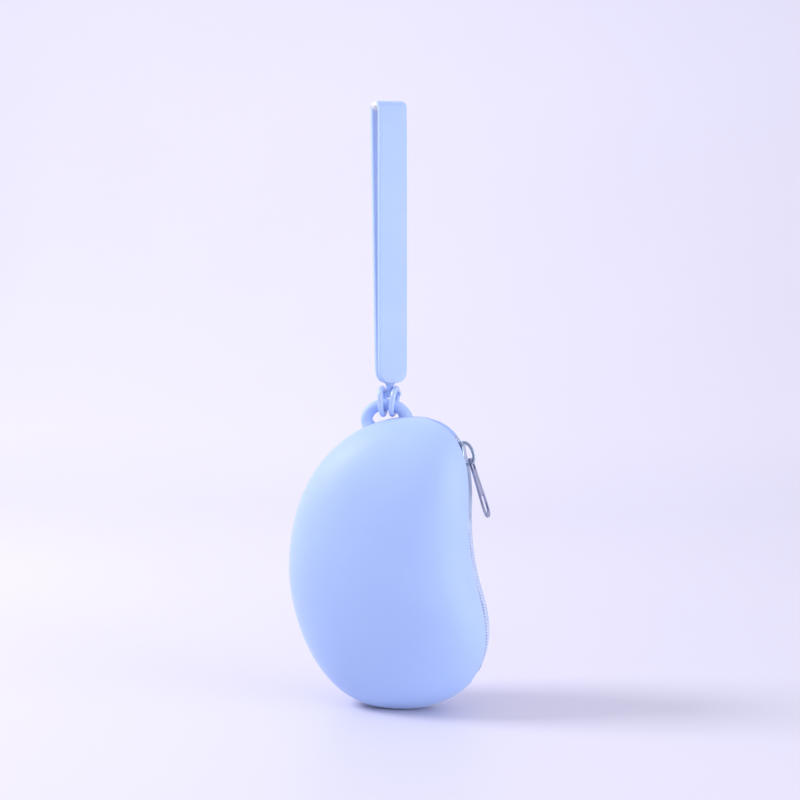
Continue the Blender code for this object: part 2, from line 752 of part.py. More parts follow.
def strap_front(bm):
    """The strap seen from the front: a long band with round lower corners."""
    half = STRAP_WIDTH / 2
    low, high = strap_bottom_z(), strap_bottom_z() + STRAP_LENGTH
    corner = STRAP_CORNER_R
    arc = [math.pi / 2 * step / 6 for step in range(7)]
    right = [(half - corner + corner * math.sin(a), low + corner - corner * math.cos(a)) for a in arc]
    right.append((half, high + corner))
    points = right + [(-x, z) for x, z in reversed(right)]
    reach = STRAP_LOOP_GAP + 2 * STRAP_THICK
    skin(bm, [[(x, y, z) for x, z in points] for y in (-reach, reach)])


def strap_tail_centre():
    """Middle of the strap's closed lower end, as (x, y)."""
    turn = math.radians(STRAP_TURN)
    back = -STRAP_LOOP_GAP / 2
    return STRAP_X - back * math.sin(turn), back * math.cos(turn)


def strap_neck(bm):
    tail_x, tail_y = strap_tail_centre()
    half, deep = NECK_WIDTH / 2, NECK_DEPTH / 2
    corners = [(1, 0.5), (0.5, 1), (-0.5, 1), (-1, 0.5), (-1, -0.5), (-0.5, -1), (0.5, -1), (1, -0.5)]
    stages = [
        (pin_z(), PIN_X, 0.0),
        (strap_bottom_z(), (PIN_X + tail_x) / 2, tail_y / 2),
        (strap_bottom_z() + STRAP_TAIL / 2, tail_x, tail_y),
    ]
    skin(bm, [[(x + half * a, y + deep * b, z) for a, b in corners] for z, x, y in stages])


def wrist_strap(parent):
    turn = (0, 0, math.radians(STRAP_TURN))
    place = (STRAP_X, 0, 0)
    silicone = material("strap_silicone", PALE_BLUE, 0.5, 0)
    strap = add_object("wrist_strap", strap_side, silicone, parent, place, turn)
    combine(strap, cutter("strap_front_shape", strap_front, parent, place, turn), "INTERSECT")
    bevel(strap, STRAP_EDGE_R)
    combine(strap, cutter("strap_gap_shape", strap_gap, parent, place, turn), "DIFFERENCE")
    combine(strap, cutter("neck_shape", strap_neck, parent), "UNION")
    eye_place = (PIN_X, 0, pin_z())
    half = EYE_WIDTH / 2
    eye = cutter("eye_shape", lambda bm: disc(bm, EYE_R, -half, half), parent, eye_place)
    combine(strap, eye, "UNION")
    hole_r = PIN_R + FIT_GAP
    hole = cutter("eye_hole", lambda bm: disc(bm, hole_r, -2 * half, 2 * half), parent, eye_place)
    combine(strap, hole, "DIFFERENCE")


def build():
    clear_scene()
    hang_z = strap_bottom_z() + STRAP_LENGTH - STRAP_THICK
    standing = add_empty("standing_frame", (-STRAP_X, 0, -hang_z))
    pouch_body(standing)
    zip_parts(standing)
    top, _, heading = run_ends()
    rest = top + heading * SLIDER_REST_DROP
    tilt = math.atan2(-heading.x, -heading.y)
    track = add_empty("slider_frame", (rest.x, 0, rest.y), standing, (0, tilt, 0))
    hinge = slider(track)
    tab_turn = (0, -math.radians(TAB_REST_DEG) - tilt, 0)
    pull_tab(track, hinge, tab_turn)
    links(standing)
    wrist_strap(standing)
    bpy.context.view_layer.update()
    print("pin axis", standing.matrix_world @ Vector((PIN_X, 0, pin_z())))
    print("bar axis", standing.matrix_world @ Vector((0, 0, ring_centre_z(0))))
    print("slider rest", track.matrix_world.translation, "heading", heading)
    print("tab hinge", track.matrix_world @ Vector(hinge))
    print("base", standing.matrix_world @ Vector((BOTTOM_X, 0, 0)), "hang height", hang_z)


build()
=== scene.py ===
# %% [markdown]
# # A silicone cosmetic pouch on its wrist strap
#
# The object is a soft bean-shaped pouch, moulded in one piece from pale blue silicone. A zip runs down one
# side, a carry ring stands on its top edge, and a folded strap hangs from a pin and two hoops. The packed
# CAD model already holds every piece at its right place, so this lesson only dresses it: each piece is
# modelled again with soft edges and fine detail, and gets its own finish.

# %% Load the packed model and note its size
import json
import math

import bpy
from mathutils import Matrix, Vector

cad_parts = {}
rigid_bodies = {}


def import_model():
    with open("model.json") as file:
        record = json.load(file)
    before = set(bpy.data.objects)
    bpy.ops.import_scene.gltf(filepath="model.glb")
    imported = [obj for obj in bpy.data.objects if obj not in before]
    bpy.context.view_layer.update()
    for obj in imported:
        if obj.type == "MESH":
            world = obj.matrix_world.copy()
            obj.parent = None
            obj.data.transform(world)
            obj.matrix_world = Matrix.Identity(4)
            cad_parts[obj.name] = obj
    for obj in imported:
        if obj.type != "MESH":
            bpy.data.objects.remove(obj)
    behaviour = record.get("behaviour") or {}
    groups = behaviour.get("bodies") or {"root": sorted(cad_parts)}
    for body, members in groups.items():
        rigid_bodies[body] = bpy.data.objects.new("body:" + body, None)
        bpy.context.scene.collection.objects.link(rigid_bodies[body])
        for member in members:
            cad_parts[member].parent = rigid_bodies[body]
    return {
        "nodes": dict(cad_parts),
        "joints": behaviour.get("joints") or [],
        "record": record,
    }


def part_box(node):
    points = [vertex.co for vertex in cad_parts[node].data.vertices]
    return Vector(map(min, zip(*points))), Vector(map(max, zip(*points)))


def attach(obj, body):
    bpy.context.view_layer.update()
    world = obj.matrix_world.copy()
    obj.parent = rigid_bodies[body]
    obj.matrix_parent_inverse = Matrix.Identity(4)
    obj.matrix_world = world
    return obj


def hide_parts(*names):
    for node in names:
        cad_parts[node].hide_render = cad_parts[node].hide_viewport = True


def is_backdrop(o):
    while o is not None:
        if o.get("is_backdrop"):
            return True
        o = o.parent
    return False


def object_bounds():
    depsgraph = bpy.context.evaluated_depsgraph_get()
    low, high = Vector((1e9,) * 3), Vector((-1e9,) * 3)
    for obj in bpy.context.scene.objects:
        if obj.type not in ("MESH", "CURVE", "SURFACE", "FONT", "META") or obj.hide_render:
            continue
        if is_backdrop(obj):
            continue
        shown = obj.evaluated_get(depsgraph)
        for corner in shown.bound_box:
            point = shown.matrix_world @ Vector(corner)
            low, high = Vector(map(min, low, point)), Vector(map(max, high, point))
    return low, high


for found in list(bpy.data.objects):
    bpy.data.objects.remove(found)
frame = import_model()
cad_box = [list(corner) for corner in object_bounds()]
print("the packed model has", len(frame["nodes"]), "nodes and measures", cad_box)

# %% [markdown]
# ## One way to measure
#
# The pouch is easiest to think about standing on a table: heights from its flat base, widths from its
# middle, all in millimetres. The packed model hangs from its strap instead, so every finished piece is
# lowered by one fixed step, which comes from the base that the record names.

# %% Sizes in millimetres, standing on the base
MM = 0.001
NEAR = 0.01 * MM
BASE_X = 2.5
base = next(mount for mount in frame["record"]["mounts"] if mount["name"] == "base")
STANDING = Vector(base["pos_m"]) - Vector((BASE_X * MM, 0, 0))


def spot(x, y, z):
    """A place in metres from millimetres, before the whole piece is lowered."""
    return Vector((x, y, z)) * MM


print("standing measures start at", [round(value, 6) for value in STANDING])

# %% [markdown]
# ## Small helpers for edit mode
#
# A Blender operator works on whatever is selected, so each step first clears the selection and then picks
# its points, edges or faces by their place. These few helpers keep that habit in one spot.


# %% Pick an object, edit it, choose its parts
def pick(obj):
    """Only this object is selected and active."""
    if bpy.context.mode != "OBJECT":
        bpy.ops.object.mode_set(mode="OBJECT")
    bpy.ops.object.select_all(action="DESELECT")
    obj.select_set(True)
    bpy.context.view_layer.objects.active = obj


def added(name):
    """The object that an operator has just added, under its own name."""
    obj = bpy.context.object
    obj.name = name
    obj.data.name = name
    return obj


def fresh(operator, name, **settings):
    """Adds an object with nothing else selected, and names it."""
    bpy.ops.object.select_all(action="DESELECT")
    operator(**settings)
    return added(name)


def edit(obj, mode="VERT"):
    pick(obj)
    bpy.ops.object.mode_set(mode="EDIT")
    bpy.ops.mesh.select_mode(type=mode)


def edit_all(obj):
    """Edit mode with everything selected."""
    edit(obj)
    bpy.ops.mesh.select_all(action="SELECT")


def done():
    bpy.ops.object.mode_set(mode="OBJECT")


def choose(obj, test, mode="VERT"):
    """Selects the points, edges or faces whose middle passes a test, and stays in edit mode."""
    edit(obj, mode)
    bpy.ops.mesh.select_all(action="DESELECT")
    done()
    mesh = obj.data
    if mode == "VERT":
        for vert in mesh.vertices:
            vert.select = test(vert.co)
    elif mode == "EDGE":
        for line in mesh.edges:
            ends = [mesh.vertices[index].co for index in line.vertices]
            line.select = test((ends[0] + ends[1]) / 2)
    else:
        for face in mesh.polygons:
            face.select = test(face.center)
    edit(obj, mode)


print("a piece starts with nothing selected, in", bpy.context.mode.lower(), "mode")

# %% [markdown]
# ## The pouch's outline
#
# Seen from the front the pouch is a bean: round at the left, hollow at the right where the hand grips it,
# and fuller at the bottom. Five places where its edge runs level or upright are enough to draw it with one
# smooth curve. A curve with few handles keeps the line as clean as the mould that made the real one.

# %% Five knots draw the bean
POUCH_HEIGHT = 113.0
KNOTS = [
    ((-39.0, 53.5), (0, 1), (17.5, 37.0)),
    ((11.0, POUCH_HEIGHT), (1, 0), (27.5, 26.0)),
    ((33.05, 74.7), (0, -1), (6.9, 26.2)),
    ((40.3, 28.9), (0, -1), (14.5, 15.1)),
    ((BASE_X, -1.0), (-1, 0), (25.4, 31.5)),
]
PIECE_STEPS = 14


def outline_curve(name):
    curve = fresh(bpy.ops.curve.primitive_bezier_circle_add, name, radius=40 * MM)
    bpy.ops.object.mode_set(mode="EDIT")
    bpy.ops.curve.select_all(action="DESELECT")
    points = curve.data.splines[0].bezier_points
    for point in (points[0], points[1]):
        point.select_control_point = True
    bpy.ops.curve.subdivide(number_cuts=1)
    done()
    for point, (place, heading, handles) in zip(curve.data.splines[0].bezier_points, KNOTS):
        point.handle_left_type = point.handle_right_type = "FREE"
        x, z = place
        point.co = spot(x, 0, z)
        point.handle_left = spot(x - heading[0] * handles[0], 0, z - heading[1] * handles[0])
        point.handle_right = spot(x + heading[0] * handles[1], 0, z + heading[1] * handles[1])
    curve.data.splines[0].resolution_u = PIECE_STEPS
    curve.data.resolution_u = PIECE_STEPS
    pick(curve)
    bpy.ops.object.convert(target="MESH")
    return added(name)


shell = outline_curve("pouch_shell")
print("the outline has", len(shell.data.vertices), "points")

# %% [markdown]
# ## From outline to pillow
#
# The outline is pushed out to the back in steps and drawn in a little at each one, as a stack of smaller
# and smaller beans. How much it is drawn in follows a rounded curve, so the face bulges like a pillow. The
# last loop is closed with a grid, because a fan of triangles would leave a star in the shading.

# %% Push the outline out in rings
HALF_DEPTH = 23.0
PILLOW_POWER = 2.25
MIDDLE = (0.45, POUCH_HEIGHT / 2)
LIP_Y = 4.2
RING_DEPTHS = [0, LIP_Y, 6.6, 9.2, 11.8, 14.3, 16.6, 18.6, 20.3, 21.6, 22.4]
GRID_SPAN = 17


def share(depth):
    """How large the outline still is at a depth."""
    return (1 - (depth / HALF_DEPTH) ** PILLOW_POWER) ** (1 / PILLOW_POWER)


edit_all(shell)
for before, after in zip(RING_DEPTHS, RING_DEPTHS[1:]):
    bpy.ops.mesh.extrude_edges_move(TRANSFORM_OT_translate={"value": (0, (after - before) * MM, 0)})
    size = share(after) / share(before)
    bpy.ops.transform.resize(value=(size, 1, size), center_override=spot(MIDDLE[0], after, MIDDLE[1]))
bpy.ops.mesh.fill_grid(span=GRID_SPAN)
done()
print("the half pillow has", len(shell.data.polygons), "faces")

# %% [markdown]
# ## Crown, base and zip opening
#
# The grid is still flat, so its inner points are lifted to the same rounded curve. The round bottom is
# pressed level where it stands. Then the faces along the right edge are cut away for the zip, between
# the two soft lips, which stand a little further apart at the fuller lower end.

# %% Lift the crown, level the base, open the slot
RIM = [vert.co.copy() for vert in shell.data.vertices if abs(vert.co.y) < NEAR]
CENTRE = spot(MIDDLE[0], 0, MIDDLE[1])
SLOT_LEFT = 14.5
SLOT_LOW = 11.8
LOBE_Z = 30.0
LOBE_SPAN = 24.0
LOBE_WIDER = 1.5


def rim_reach(direction):
    """How far the outline lies from the middle in a direction."""
    turn = Matrix.Rotation(-math.atan2(direction.z, direction.x), 3, Vector((0, -1, 0)))
    best = min((turn @ (rim - CENTRE) for rim in RIM), key=lambda p: abs(p.z) if p.x > 0 else 1)
    return best.x


for vert in shell.data.vertices:
    if vert.co.y > RING_DEPTHS[-1] * MM - NEAR:
        flat = Vector((vert.co.x, 0, vert.co.z)) - CENTRE
        reach = min(0.99, flat.length / rim_reach(flat)) if flat.length > 0 else 0
        vert.co.y = HALF_DEPTH * MM * (1 - reach**PILLOW_POWER) ** (1 / PILLOW_POWER)

choose(shell, lambda co: co.z < 0)
bpy.ops.transform.resize(value=(1, 1, 0), center_override=(0, 0, 0))
done()


def in_slot(place):
    """Right of the slot's upper end, and above its lower end."""
    return place.x > SLOT_LEFT * MM and place.z > SLOT_LOW * MM


choose(shell, lambda co: co.y < LIP_Y * MM and in_slot(co), "FACE")
bpy.ops.mesh.delete(type="FACE")
done()


def lip_at(height):
    """Half the slot's width at a height."""
    off = min(1, abs(height - LOBE_Z) / LOBE_SPAN)
    return LIP_Y + LOBE_WIDER * (0.5 + 0.5 * math.cos(math.pi * off))


for vert in shell.data.vertices:
    if abs(vert.co.y - LIP_Y * MM) < NEAR and in_slot(vert.co):
        wide = lip_at(vert.co.z / MM)
        vert.co = CENTRE + (vert.co - CENTRE) * (share(wide) / share(LIP_Y))
        vert.co.y = wide * MM
print("after the slot is open the half has", len(shell.data.polygons), "faces")

# %% [markdown]
# ## The last steps of a piece
#
# Every piece ends in the same way. Its modifiers are applied, double points are merged and the faces turned
# outwards. Then it is lowered to its place in the packed model, shaded smooth, given to the body that it
# moves with, and the CAD node that it replaces, if there is one, is hidden.


# %% Apply a modifier, turn faces outwards, settle a piece
def apply_modifier(obj, kind, **settings):
    """Adds a modifier, sets it and applies it at once."""
    pick(obj)
    step = obj.modifiers.new(kind.lower(), kind)
    for key, value in settings.items():
        setattr(step, key, value)
    bpy.ops.object.modifier_apply(modifier=step.name)


def smoothed(obj):
    apply_modifier(obj, "SUBSURF", levels=2, render_levels=2)


def outward(obj):
    """Closes tiny gaps between points and turns every face outwards."""
    edit_all(obj)
    bpy.ops.mesh.remove_doubles(threshold=0.00001)
    bpy.ops.mesh.normals_make_consistent(inside=False)
    done()


def fixed(obj):
    """Writes an object's place, turn and size into its mesh."""
    pick(obj)
    bpy.ops.object.transform_apply(location=True, rotation=True, scale=True)


def settle(obj, body, slot, *nodes, angle=40):
    """Lowers a finished piece to its place, smooths it and hands it to its body."""
    obj.location = obj.location + STANDING
    fixed(obj)
    bpy.ops.object.shade_smooth_by_angle(angle=math.radians(angle))
    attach(obj, body)
    if nodes:
        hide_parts(*nodes)
    print(obj.name, "has", len(obj.data.polygons), "faces")
    return obj


# %% [markdown]
# ## Wall and soft lips
#
# The other half is a mirror image. The wall is made by a solidify modifier that grows inwards, so the
# outside keeps its size. Subdivision then rounds everything that is rounded on the moulding: the lips of
# the slot, its two ends and the edge of the base. A crease on the slot's rim keeps its lips a little crisper
# than the rest.

# %% Mirror, thicken and round the shell
WALL = 2.2
LIP_CREASE = 0.6
apply_modifier(shell, "MIRROR", use_axis=(False, True, False), merge_threshold=0.02 * MM)
outward(shell)
apply_modifier(
    shell, "SOLIDIFY", thickness=WALL * MM, offset=-1, use_even_offset=True,
    edge_crease_outer=LIP_CREASE, edge_crease_inner=LIP_CREASE / 2,
)
smoothed(shell)
settle(shell, "pouch", "silicone", "pouch_body")

# %% [markdown]
# ## Pushing a section along a path
#
# The ring, the tapes, the strap and the slider's bridge are all one section that follows a line. The
# section is pushed out a step, turned to the new heading, and resized where the piece swells or narrows.
# It is the same three moves as by hand: extrude, rotate, scale.

# %% Extrude a section station by station
SAME_SIZE = 1e-6
circle_add = bpy.ops.mesh.primitive_circle_add


def heading_angle(run):
    return math.atan2(run.y, run.x)


def pushed(name, section, line):
    """A closed section (across, up) follows a line of (x, z, turn in radians, across scale, up scale)."""
    tube = fresh(circle_add, name, vertices=len(section), radius=MM)
    x, z, turn, wide, thick = line[0]
    frame_turn = Matrix.Rotation(-turn, 3, "Y")
    for vert, (across, up) in zip(tube.data.vertices, section):
        vert.co = spot(x, 0, z) + frame_turn @ spot(0, across * wide, up * thick)
    edit_all(tube)
    for before, after in zip(line, line[1:]):
        step = spot(after[0] - before[0], 0, after[1] - before[1])
        bpy.ops.mesh.extrude_edges_move(TRANSFORM_OT_translate={"value": step})
        middle = spot(after[0], 0, after[1])
        bpy.ops.transform.rotate(
            value=after[2] - before[2], orient_axis="Y", orient_type="GLOBAL", center_override=middle
        )
        size_y = after[3] / before[3]
        size_n = after[4] / before[4]
        if abs(size_y - 1) > SAME_SIZE or abs(size_n - 1) > SAME_SIZE:
            turned = Matrix.Rotation(-after[2], 3, "Y")
            bpy.ops.transform.resize(
                value=(1, size_y, size_n), orient_type="GLOBAL", orient_matrix=turned,
                orient_matrix_type="GLOBAL", center_override=middle,
            )
    done()
    return tube


def stations(points, sizes=None, first=None, last=None):
    """Gives every (x, z) point of a line its heading. The two ends may have a heading of their own."""
    found = []
    for index, point in enumerate(points):
        before = points[max(0, index - 1)]
        after = points[min(len(points) - 1, index + 1)]
        turn = heading_angle(Vector(after) - Vector(before))
        if found and turn - found[-1][2] > math.pi:
            turn -= 2 * math.pi
        if found and found[-1][2] - turn > math.pi:
            turn += 2 * math.pi
        wide, thick = sizes[index] if sizes else (1, 1)
        found.append((point[0], point[1], turn, wide, thick))
    if first is not None:
        found[0] = found[0][:2] + (first,) + found[0][3:]
    if last is not None:
        found[-1] = found[-1][:2] + (last,) + found[-1][3:]
    return found


print("an upright step has the heading", round(heading_angle(Vector((0, 1))), 4))

# %% [markdown]
# ## Sections and ends
#
# A round section is a ring of points of radius one, which the stations then bring to its size. What has been
# pushed is still an open tube, so its two ends are closed with a face each. Where the tube will be
# subdivided, a small inset keeps such an end flat.


# %% A round section, and closed ends
def circle(sides):
    """A round section of radius one, as (across, up)."""
    turns = [2 * math.pi * side / sides for side in range(sides)]
    return [(math.cos(turn), math.sin(turn)) for turn in turns]


def capped(obj, inset=0.0):
    """Closes the two open ends, with a small inset that keeps them flat."""
    edit(obj)
    bpy.ops.mesh.select_all(action="DESELECT")
    bpy.ops.mesh.select_non_manifold()
    bpy.ops.mesh.edge_face_add()
    done()
    if inset:
        choose(obj, lambda co: False, "FACE")
        done()
        for face in obj.data.polygons:
            face.select = len(face.vertices) > 4
        edit(obj, "FACE")
        bpy.ops.mesh.inset(thickness=inset * MM, use_individual=True)
        done()
    outward(obj)


print("a round section of four points:", [(round(y, 3), round(z, 3)) for y, z in circle(4)])

# %% [markdown]
# ## Carry ring
#
# The ring is part of the moulding: a round bar that rises from the top edge, arches over and goes back in.
# Where it meets the pouch it swells out a little. The last few sections are therefore wider, and tilted to
# lie along the pouch's surface.

# %% Arch the ring over, with a foot at each end
RING_X = -0.3
RING_REACH = 8.2
RING_Z = POUCH_HEIGHT - 4
RING_RISE = 8.3
RING_BAR_R = 2.35
RING_POWER = 2.4
LEFT_FOOT = Vector((-7.5, 109.4))
LEFT_LEAN = math.radians(114)
RIGHT_FOOT = Vector((7.35, 112.95))
RIGHT_LEAN = math.radians(94)
FLARE = [(-1.4, 3.2), (-0.7, 3.0), (0.0, 2.75), (0.6, 2.55), (1.2, 2.45), (2.0, 2.4)]


def arch_point(degrees):
    turn = math.radians(degrees)
    across = math.copysign(abs(math.cos(turn)) ** (2 / RING_POWER), math.cos(turn))
    return (RING_X + RING_REACH * across, RING_Z + RING_RISE * math.sin(turn) ** (2 / RING_POWER))


def foot_points(foot, lean, flare):
    away = Vector((math.cos(lean), math.sin(lean)))
    return [tuple(foot + away * height) for height, _ in flare]


ARCH = (158, 148, 136, 122, 106, 90, 74, 60, 48, 38)
RIGHT_END = [(7.02, 113.75), (7.22, 113.3)]
RIGHT_RADII = [2.38, 2.4, 2.5, 2.6]
ring_line = foot_points(LEFT_FOOT, LEFT_LEAN, FLARE) + [arch_point(degrees) for degrees in ARCH]
ring_line += RIGHT_END + foot_points(RIGHT_FOOT, RIGHT_LEAN, FLARE[2::-1])
radii = [radius for _, radius in FLARE] + [RING_BAR_R] * 8 + RIGHT_RADII
radii += [radius for _, radius in FLARE[2::-1]]
ring = pushed(
    "carry_ring",
    circle(16),
    stations(ring_line, [(radius, radius) for radius in radii], LEFT_LEAN, RIGHT_LEAN - math.pi),
)
capped(ring)
smoothed(ring)
settle(ring, "pouch", "silicone")

# %% [markdown]
# ## The line of the zip
#
# The chain follows the pouch's edge just below its surface. It is drawn as the outline was, by a few knots
# with handles. The zip has four of its own, close to the outline's, because it lies where the packed model
# has it.


# %% Draw the edge that the chain follows
def bend(start, start_heading, start_handle, end, end_heading, end_handle, steps):
    """Points of one smooth bend, its end left out."""
    first, last = Vector(start), Vector(end)
    second = first + Vector(start_heading) * start_handle
    third = last - Vector(end_heading) * end_handle
    points = []
    for step in range(steps):
        t = step / steps
        point = first * (1 - t) ** 3 + second * 3 * t * (1 - t) ** 2
        points.append(point + third * 3 * t * t * (1 - t) + last * t**3)
    return points


FINE = 100
WAIST_X = 32.8
ZIP_KNOTS = [
    ((11.0, POUCH_HEIGHT), (1, 0), (27.5, 22.0)),
    ((WAIST_X, 81.0), (0, -1), (10.5, 33.0)),
    ((39.9, 28.5), (0, -1), (17.5, 13.5)),
    ((BASE_X, -1.0), (-1, 0), (26.5, 31.5)),
]


def edge_piece(index):
    here, after = ZIP_KNOTS[index], ZIP_KNOTS[index + 1]
    return bend(here[0], here[1], here[2][1], after[0], after[1], after[2][0], FINE)


def sides(points):
    """The direction to the left of travel at each point of a line."""
    found = []
    for index in range(len(points)):
        run = points[min(len(points) - 1, index + 1)] - points[max(0, index - 1)]
        run.normalize()
        found.append(Vector((-run.y, run.x)))
    return found


ZIP_RECESS = 0.3
edge_line = edge_piece(0) + edge_piece(1) + edge_piece(2)
inset_line = [point - side * ZIP_RECESS for point, side in zip(edge_line, sides(edge_line))]
print("the edge is drawn with", len(inset_line), "points")

# %% [markdown]
# ## The chain's straight run
#
# A slider can only run well where its chain is nearly straight. So the chain leaves the edge near its top,
# bends onto a straight line for the slider, and joins the edge again above the lobe. Distances along this
# line, in millimetres, then say where each tooth, clip and bit of tape belongs.

# %% Join the straight run to the edge, and measure the line
RUN_TOP = Vector((WAIST_X - 3.65, POUCH_HEIGHT - 11.6))
RUN_BOTTOM = Vector((WAIST_X + 1.5, 55.0))
RUN_HEADING = (RUN_BOTTOM - RUN_TOP).normalized()
RUN_STEPS = 6
ZIP_END_Z = 12.5
STARTS, LEAVES, JOINS = 3, 8, 170
TOP_HANDLES = (2.5, 7.5)
LOW_HANDLES = (4, 4)
away = (inset_line[LEAVES + 1] - inset_line[LEAVES]).normalized()
back = (inset_line[JOINS + 1] - inset_line[JOINS]).normalized()
ZIP = inset_line[STARTS:LEAVES:3]
ZIP += bend(inset_line[LEAVES], away, TOP_HANDLES[0], RUN_TOP, RUN_HEADING, TOP_HANDLES[1], 14)
ZIP += [RUN_TOP + (RUN_BOTTOM - RUN_TOP) * (step / RUN_STEPS) for step in range(RUN_STEPS)]
ZIP += bend(RUN_BOTTOM, RUN_HEADING, LOW_HANDLES[0], inset_line[JOINS], back, LOW_HANDLES[1], 8)
ZIP += [point for point in inset_line[JOINS::4] if point.y >= ZIP_END_Z]
LENGTHS = [0.0]
for here, after in zip(ZIP, ZIP[1:]):
    LENGTHS.append(LENGTHS[-1] + (after - here).length)


def on_zip(distance):
    """Place and heading on the chain's line, a distance in millimetres from its top."""
    index = 0
    while index < len(ZIP) - 2 and LENGTHS[index + 1] < distance:
        index += 1
    here, after = ZIP[index], ZIP[index + 1]
    share_along = (distance - LENGTHS[index]) / (LENGTHS[index + 1] - LENGTHS[index])
    place = here + (after - here) * share_along
    return place, heading_angle(after - here)


print("the zip is", round(LENGTHS[-1], 1), "mm long")

# %% [markdown]
# ## Zip tapes
#
# Two narrow woven tapes carry the teeth. Their outer edges turn up along the slot's walls and disappear
# into the silicone lips, where the real ones are moulded in. A thin ribbon is pushed along the zip's line
# and gets wider where the slot does. It also gets its own map, in which one direction is the length of the
# tape, because the weave has to follow its curve.

# %% Push out two ribbons and map their length
TOOTH_HEIGHT = 1.5
TAPE_THICK = 0.5
TAPE_EDGE_Y = 0.6
TAPE_PAST = 2.5
TAPE_STEP = 2.0
TAPE_SECTION = [(1.6, 0), (2.6, 0), (3.4, 0), (3.72, 0.35), (3.95, 0.95), (4.15, 1.25), (4.9, 1.1)]
LIP_BEND_R = 14.0
FIT = 0.3
MAP_SCALE = 0.01


def zip_stations(start, end):
    count = math.ceil((end - start) / TAPE_STEP)
    places = [start + (end - start) * step / count for step in range(count + 1)]
    points = [tuple(on_zip(place)[0]) for place in places]
    return places, stations(points, [(lip_at(point[1]) / LIP_Y, 1) for point in points])


def lip_fall(y):
    return y * y / (2 * LIP_BEND_R)


def map_length(obj, places):
    """A UV map in which U runs along the zip's line and V across it."""
    line = [on_zip(place)[0] for place in places]
    uv = obj.data.uv_layers.new(name="tape_map")
    along_line = {}
    for vert in obj.data.vertices:
        flat = Vector((vert.co.x, vert.co.z)) / MM
        near = min(range(len(line)), key=lambda index: (line[index] - flat).length)
        along_line[vert.index] = places[near]
    for loop in obj.data.loops:
        vert = obj.data.vertices[loop.vertex_index]
        uv.data[loop.index].uv = (along_line[vert.index] * MAP_SCALE, vert.co.y / MM * MAP_SCALE)


def tape(name, side):
    across = [(TAPE_EDGE_Y, 0)] + TAPE_SECTION
    top = -TOOTH_HEIGHT - FIT
    upper = [(side * y, top + rise - lip_fall(y)) for y, rise in across]
    lower = [(side * y, top + rise - lip_fall(y) - TAPE_THICK) for y, rise in reversed(across)]
    places, line = zip_stations(-TAPE_PAST, LENGTHS[-1] + TAPE_PAST)
    ribbon = pushed(name, upper + lower, line)
    map_length(ribbon, places)
    capped(ribbon)
    return settle(ribbon, "pouch", "zip_tape", "zip_" + name)


tapes = [tape("tape_front", -1), tape("tape_back", 1)]

# %% [markdown]
# ## Blocks, and their place on the chain
#
# A tooth, a clip and the slider's wedge and side walls are all small blocks. A cube is resized between two
# corners and its edges are rounded. What belongs to the chain is then laid on the zip's line, and turned to
# the heading that the line has there.


# %% Make a block, and lay it on the chain
def rounded(obj, width, segments=2, angle=35):
    """Rounds every edge that is sharper than an angle."""
    apply_modifier(
        obj, "BEVEL", width=width * MM, segments=segments, limit_method="ANGLE",
        angle_limit=math.radians(angle),
    )


def block(name, low, high, edge=0, segments=2):
    """A small block between two corners, with rounded edges."""
    made = fresh(bpy.ops.mesh.primitive_cube_add, name, size=1)
    edit_all(made)
    bpy.ops.transform.resize(value=[(b - a) * MM for a, b in zip(low, high)])
    bpy.ops.transform.translate(value=spot(*[(a + b) / 2 for a, b in zip(low, high)]))
    done()
    if edge:
        rounded(made, edge, segments)
    return made


def lay(obj, distance):
    """Places an object on the chain's line, a distance in millimetres from its top."""
    place, turn = on_zip(distance)
    obj.location = spot(place.x, 0, place.y)
    obj.rotation_euler = (0, -turn, 0)


print("the chain's middle lies at", [round(value, 1) for value in on_zip(LENGTHS[-1] / 2)[0]])

# %% [markdown]
# ## Teeth
#
# The zip is a fine coil zip: each turn of its nylon wire makes one small rounded tooth, and the teeth of
# the two rows reach between each other. One tooth is modelled, then copied along the line with its own
# mesh, and each row is joined into one piece.

# %% Model one tooth and repeat it along the chain
TOOTH_PITCH = 1.2
TOOTH_LONG = 0.92
TOOTH_TIP = 0.55
TOOTH_BACK = 2.4
TOOTH_TAPER = (0.72, 1, 0.8)
TOOTH_EDGE = 0.26
SLIDER_NOSE = 2.0
STOP_LONG = 1.8
END_REST = 2.7
run_start = LENGTHS[min(range(len(ZIP)), key=lambda index: (ZIP[index] - RUN_TOP).length)]
TOP_STOP_END = run_start - SLIDER_NOSE - 2 * FIT
BOTTOM_STOP_START = LENGTHS[-1] - END_REST - STOP_LONG


def tooth(name, side):
    """A rounded finger that lies across the chain, from its root on the tape to its tip past the middle."""
    low_y, high_y = sorted((-side * TOOTH_TIP, side * TOOTH_BACK))
    finger = block(name, (-TOOTH_LONG / 2, low_y, -TOOTH_HEIGHT), (TOOTH_LONG / 2, high_y, 0))
    choose(finger, lambda co: co.y * side < 0)
    bpy.ops.transform.resize(value=TOOTH_TAPER, center_override=spot(0, 0, -TOOTH_HEIGHT / 2))
    done()
    rounded(finger, TOOTH_EDGE)
    return finger


def joined(name, parts):
    """Several objects become one."""
    pick(parts[0])
    for part in parts:
        part.select_set(True)
    bpy.ops.object.join()
    return added(name)


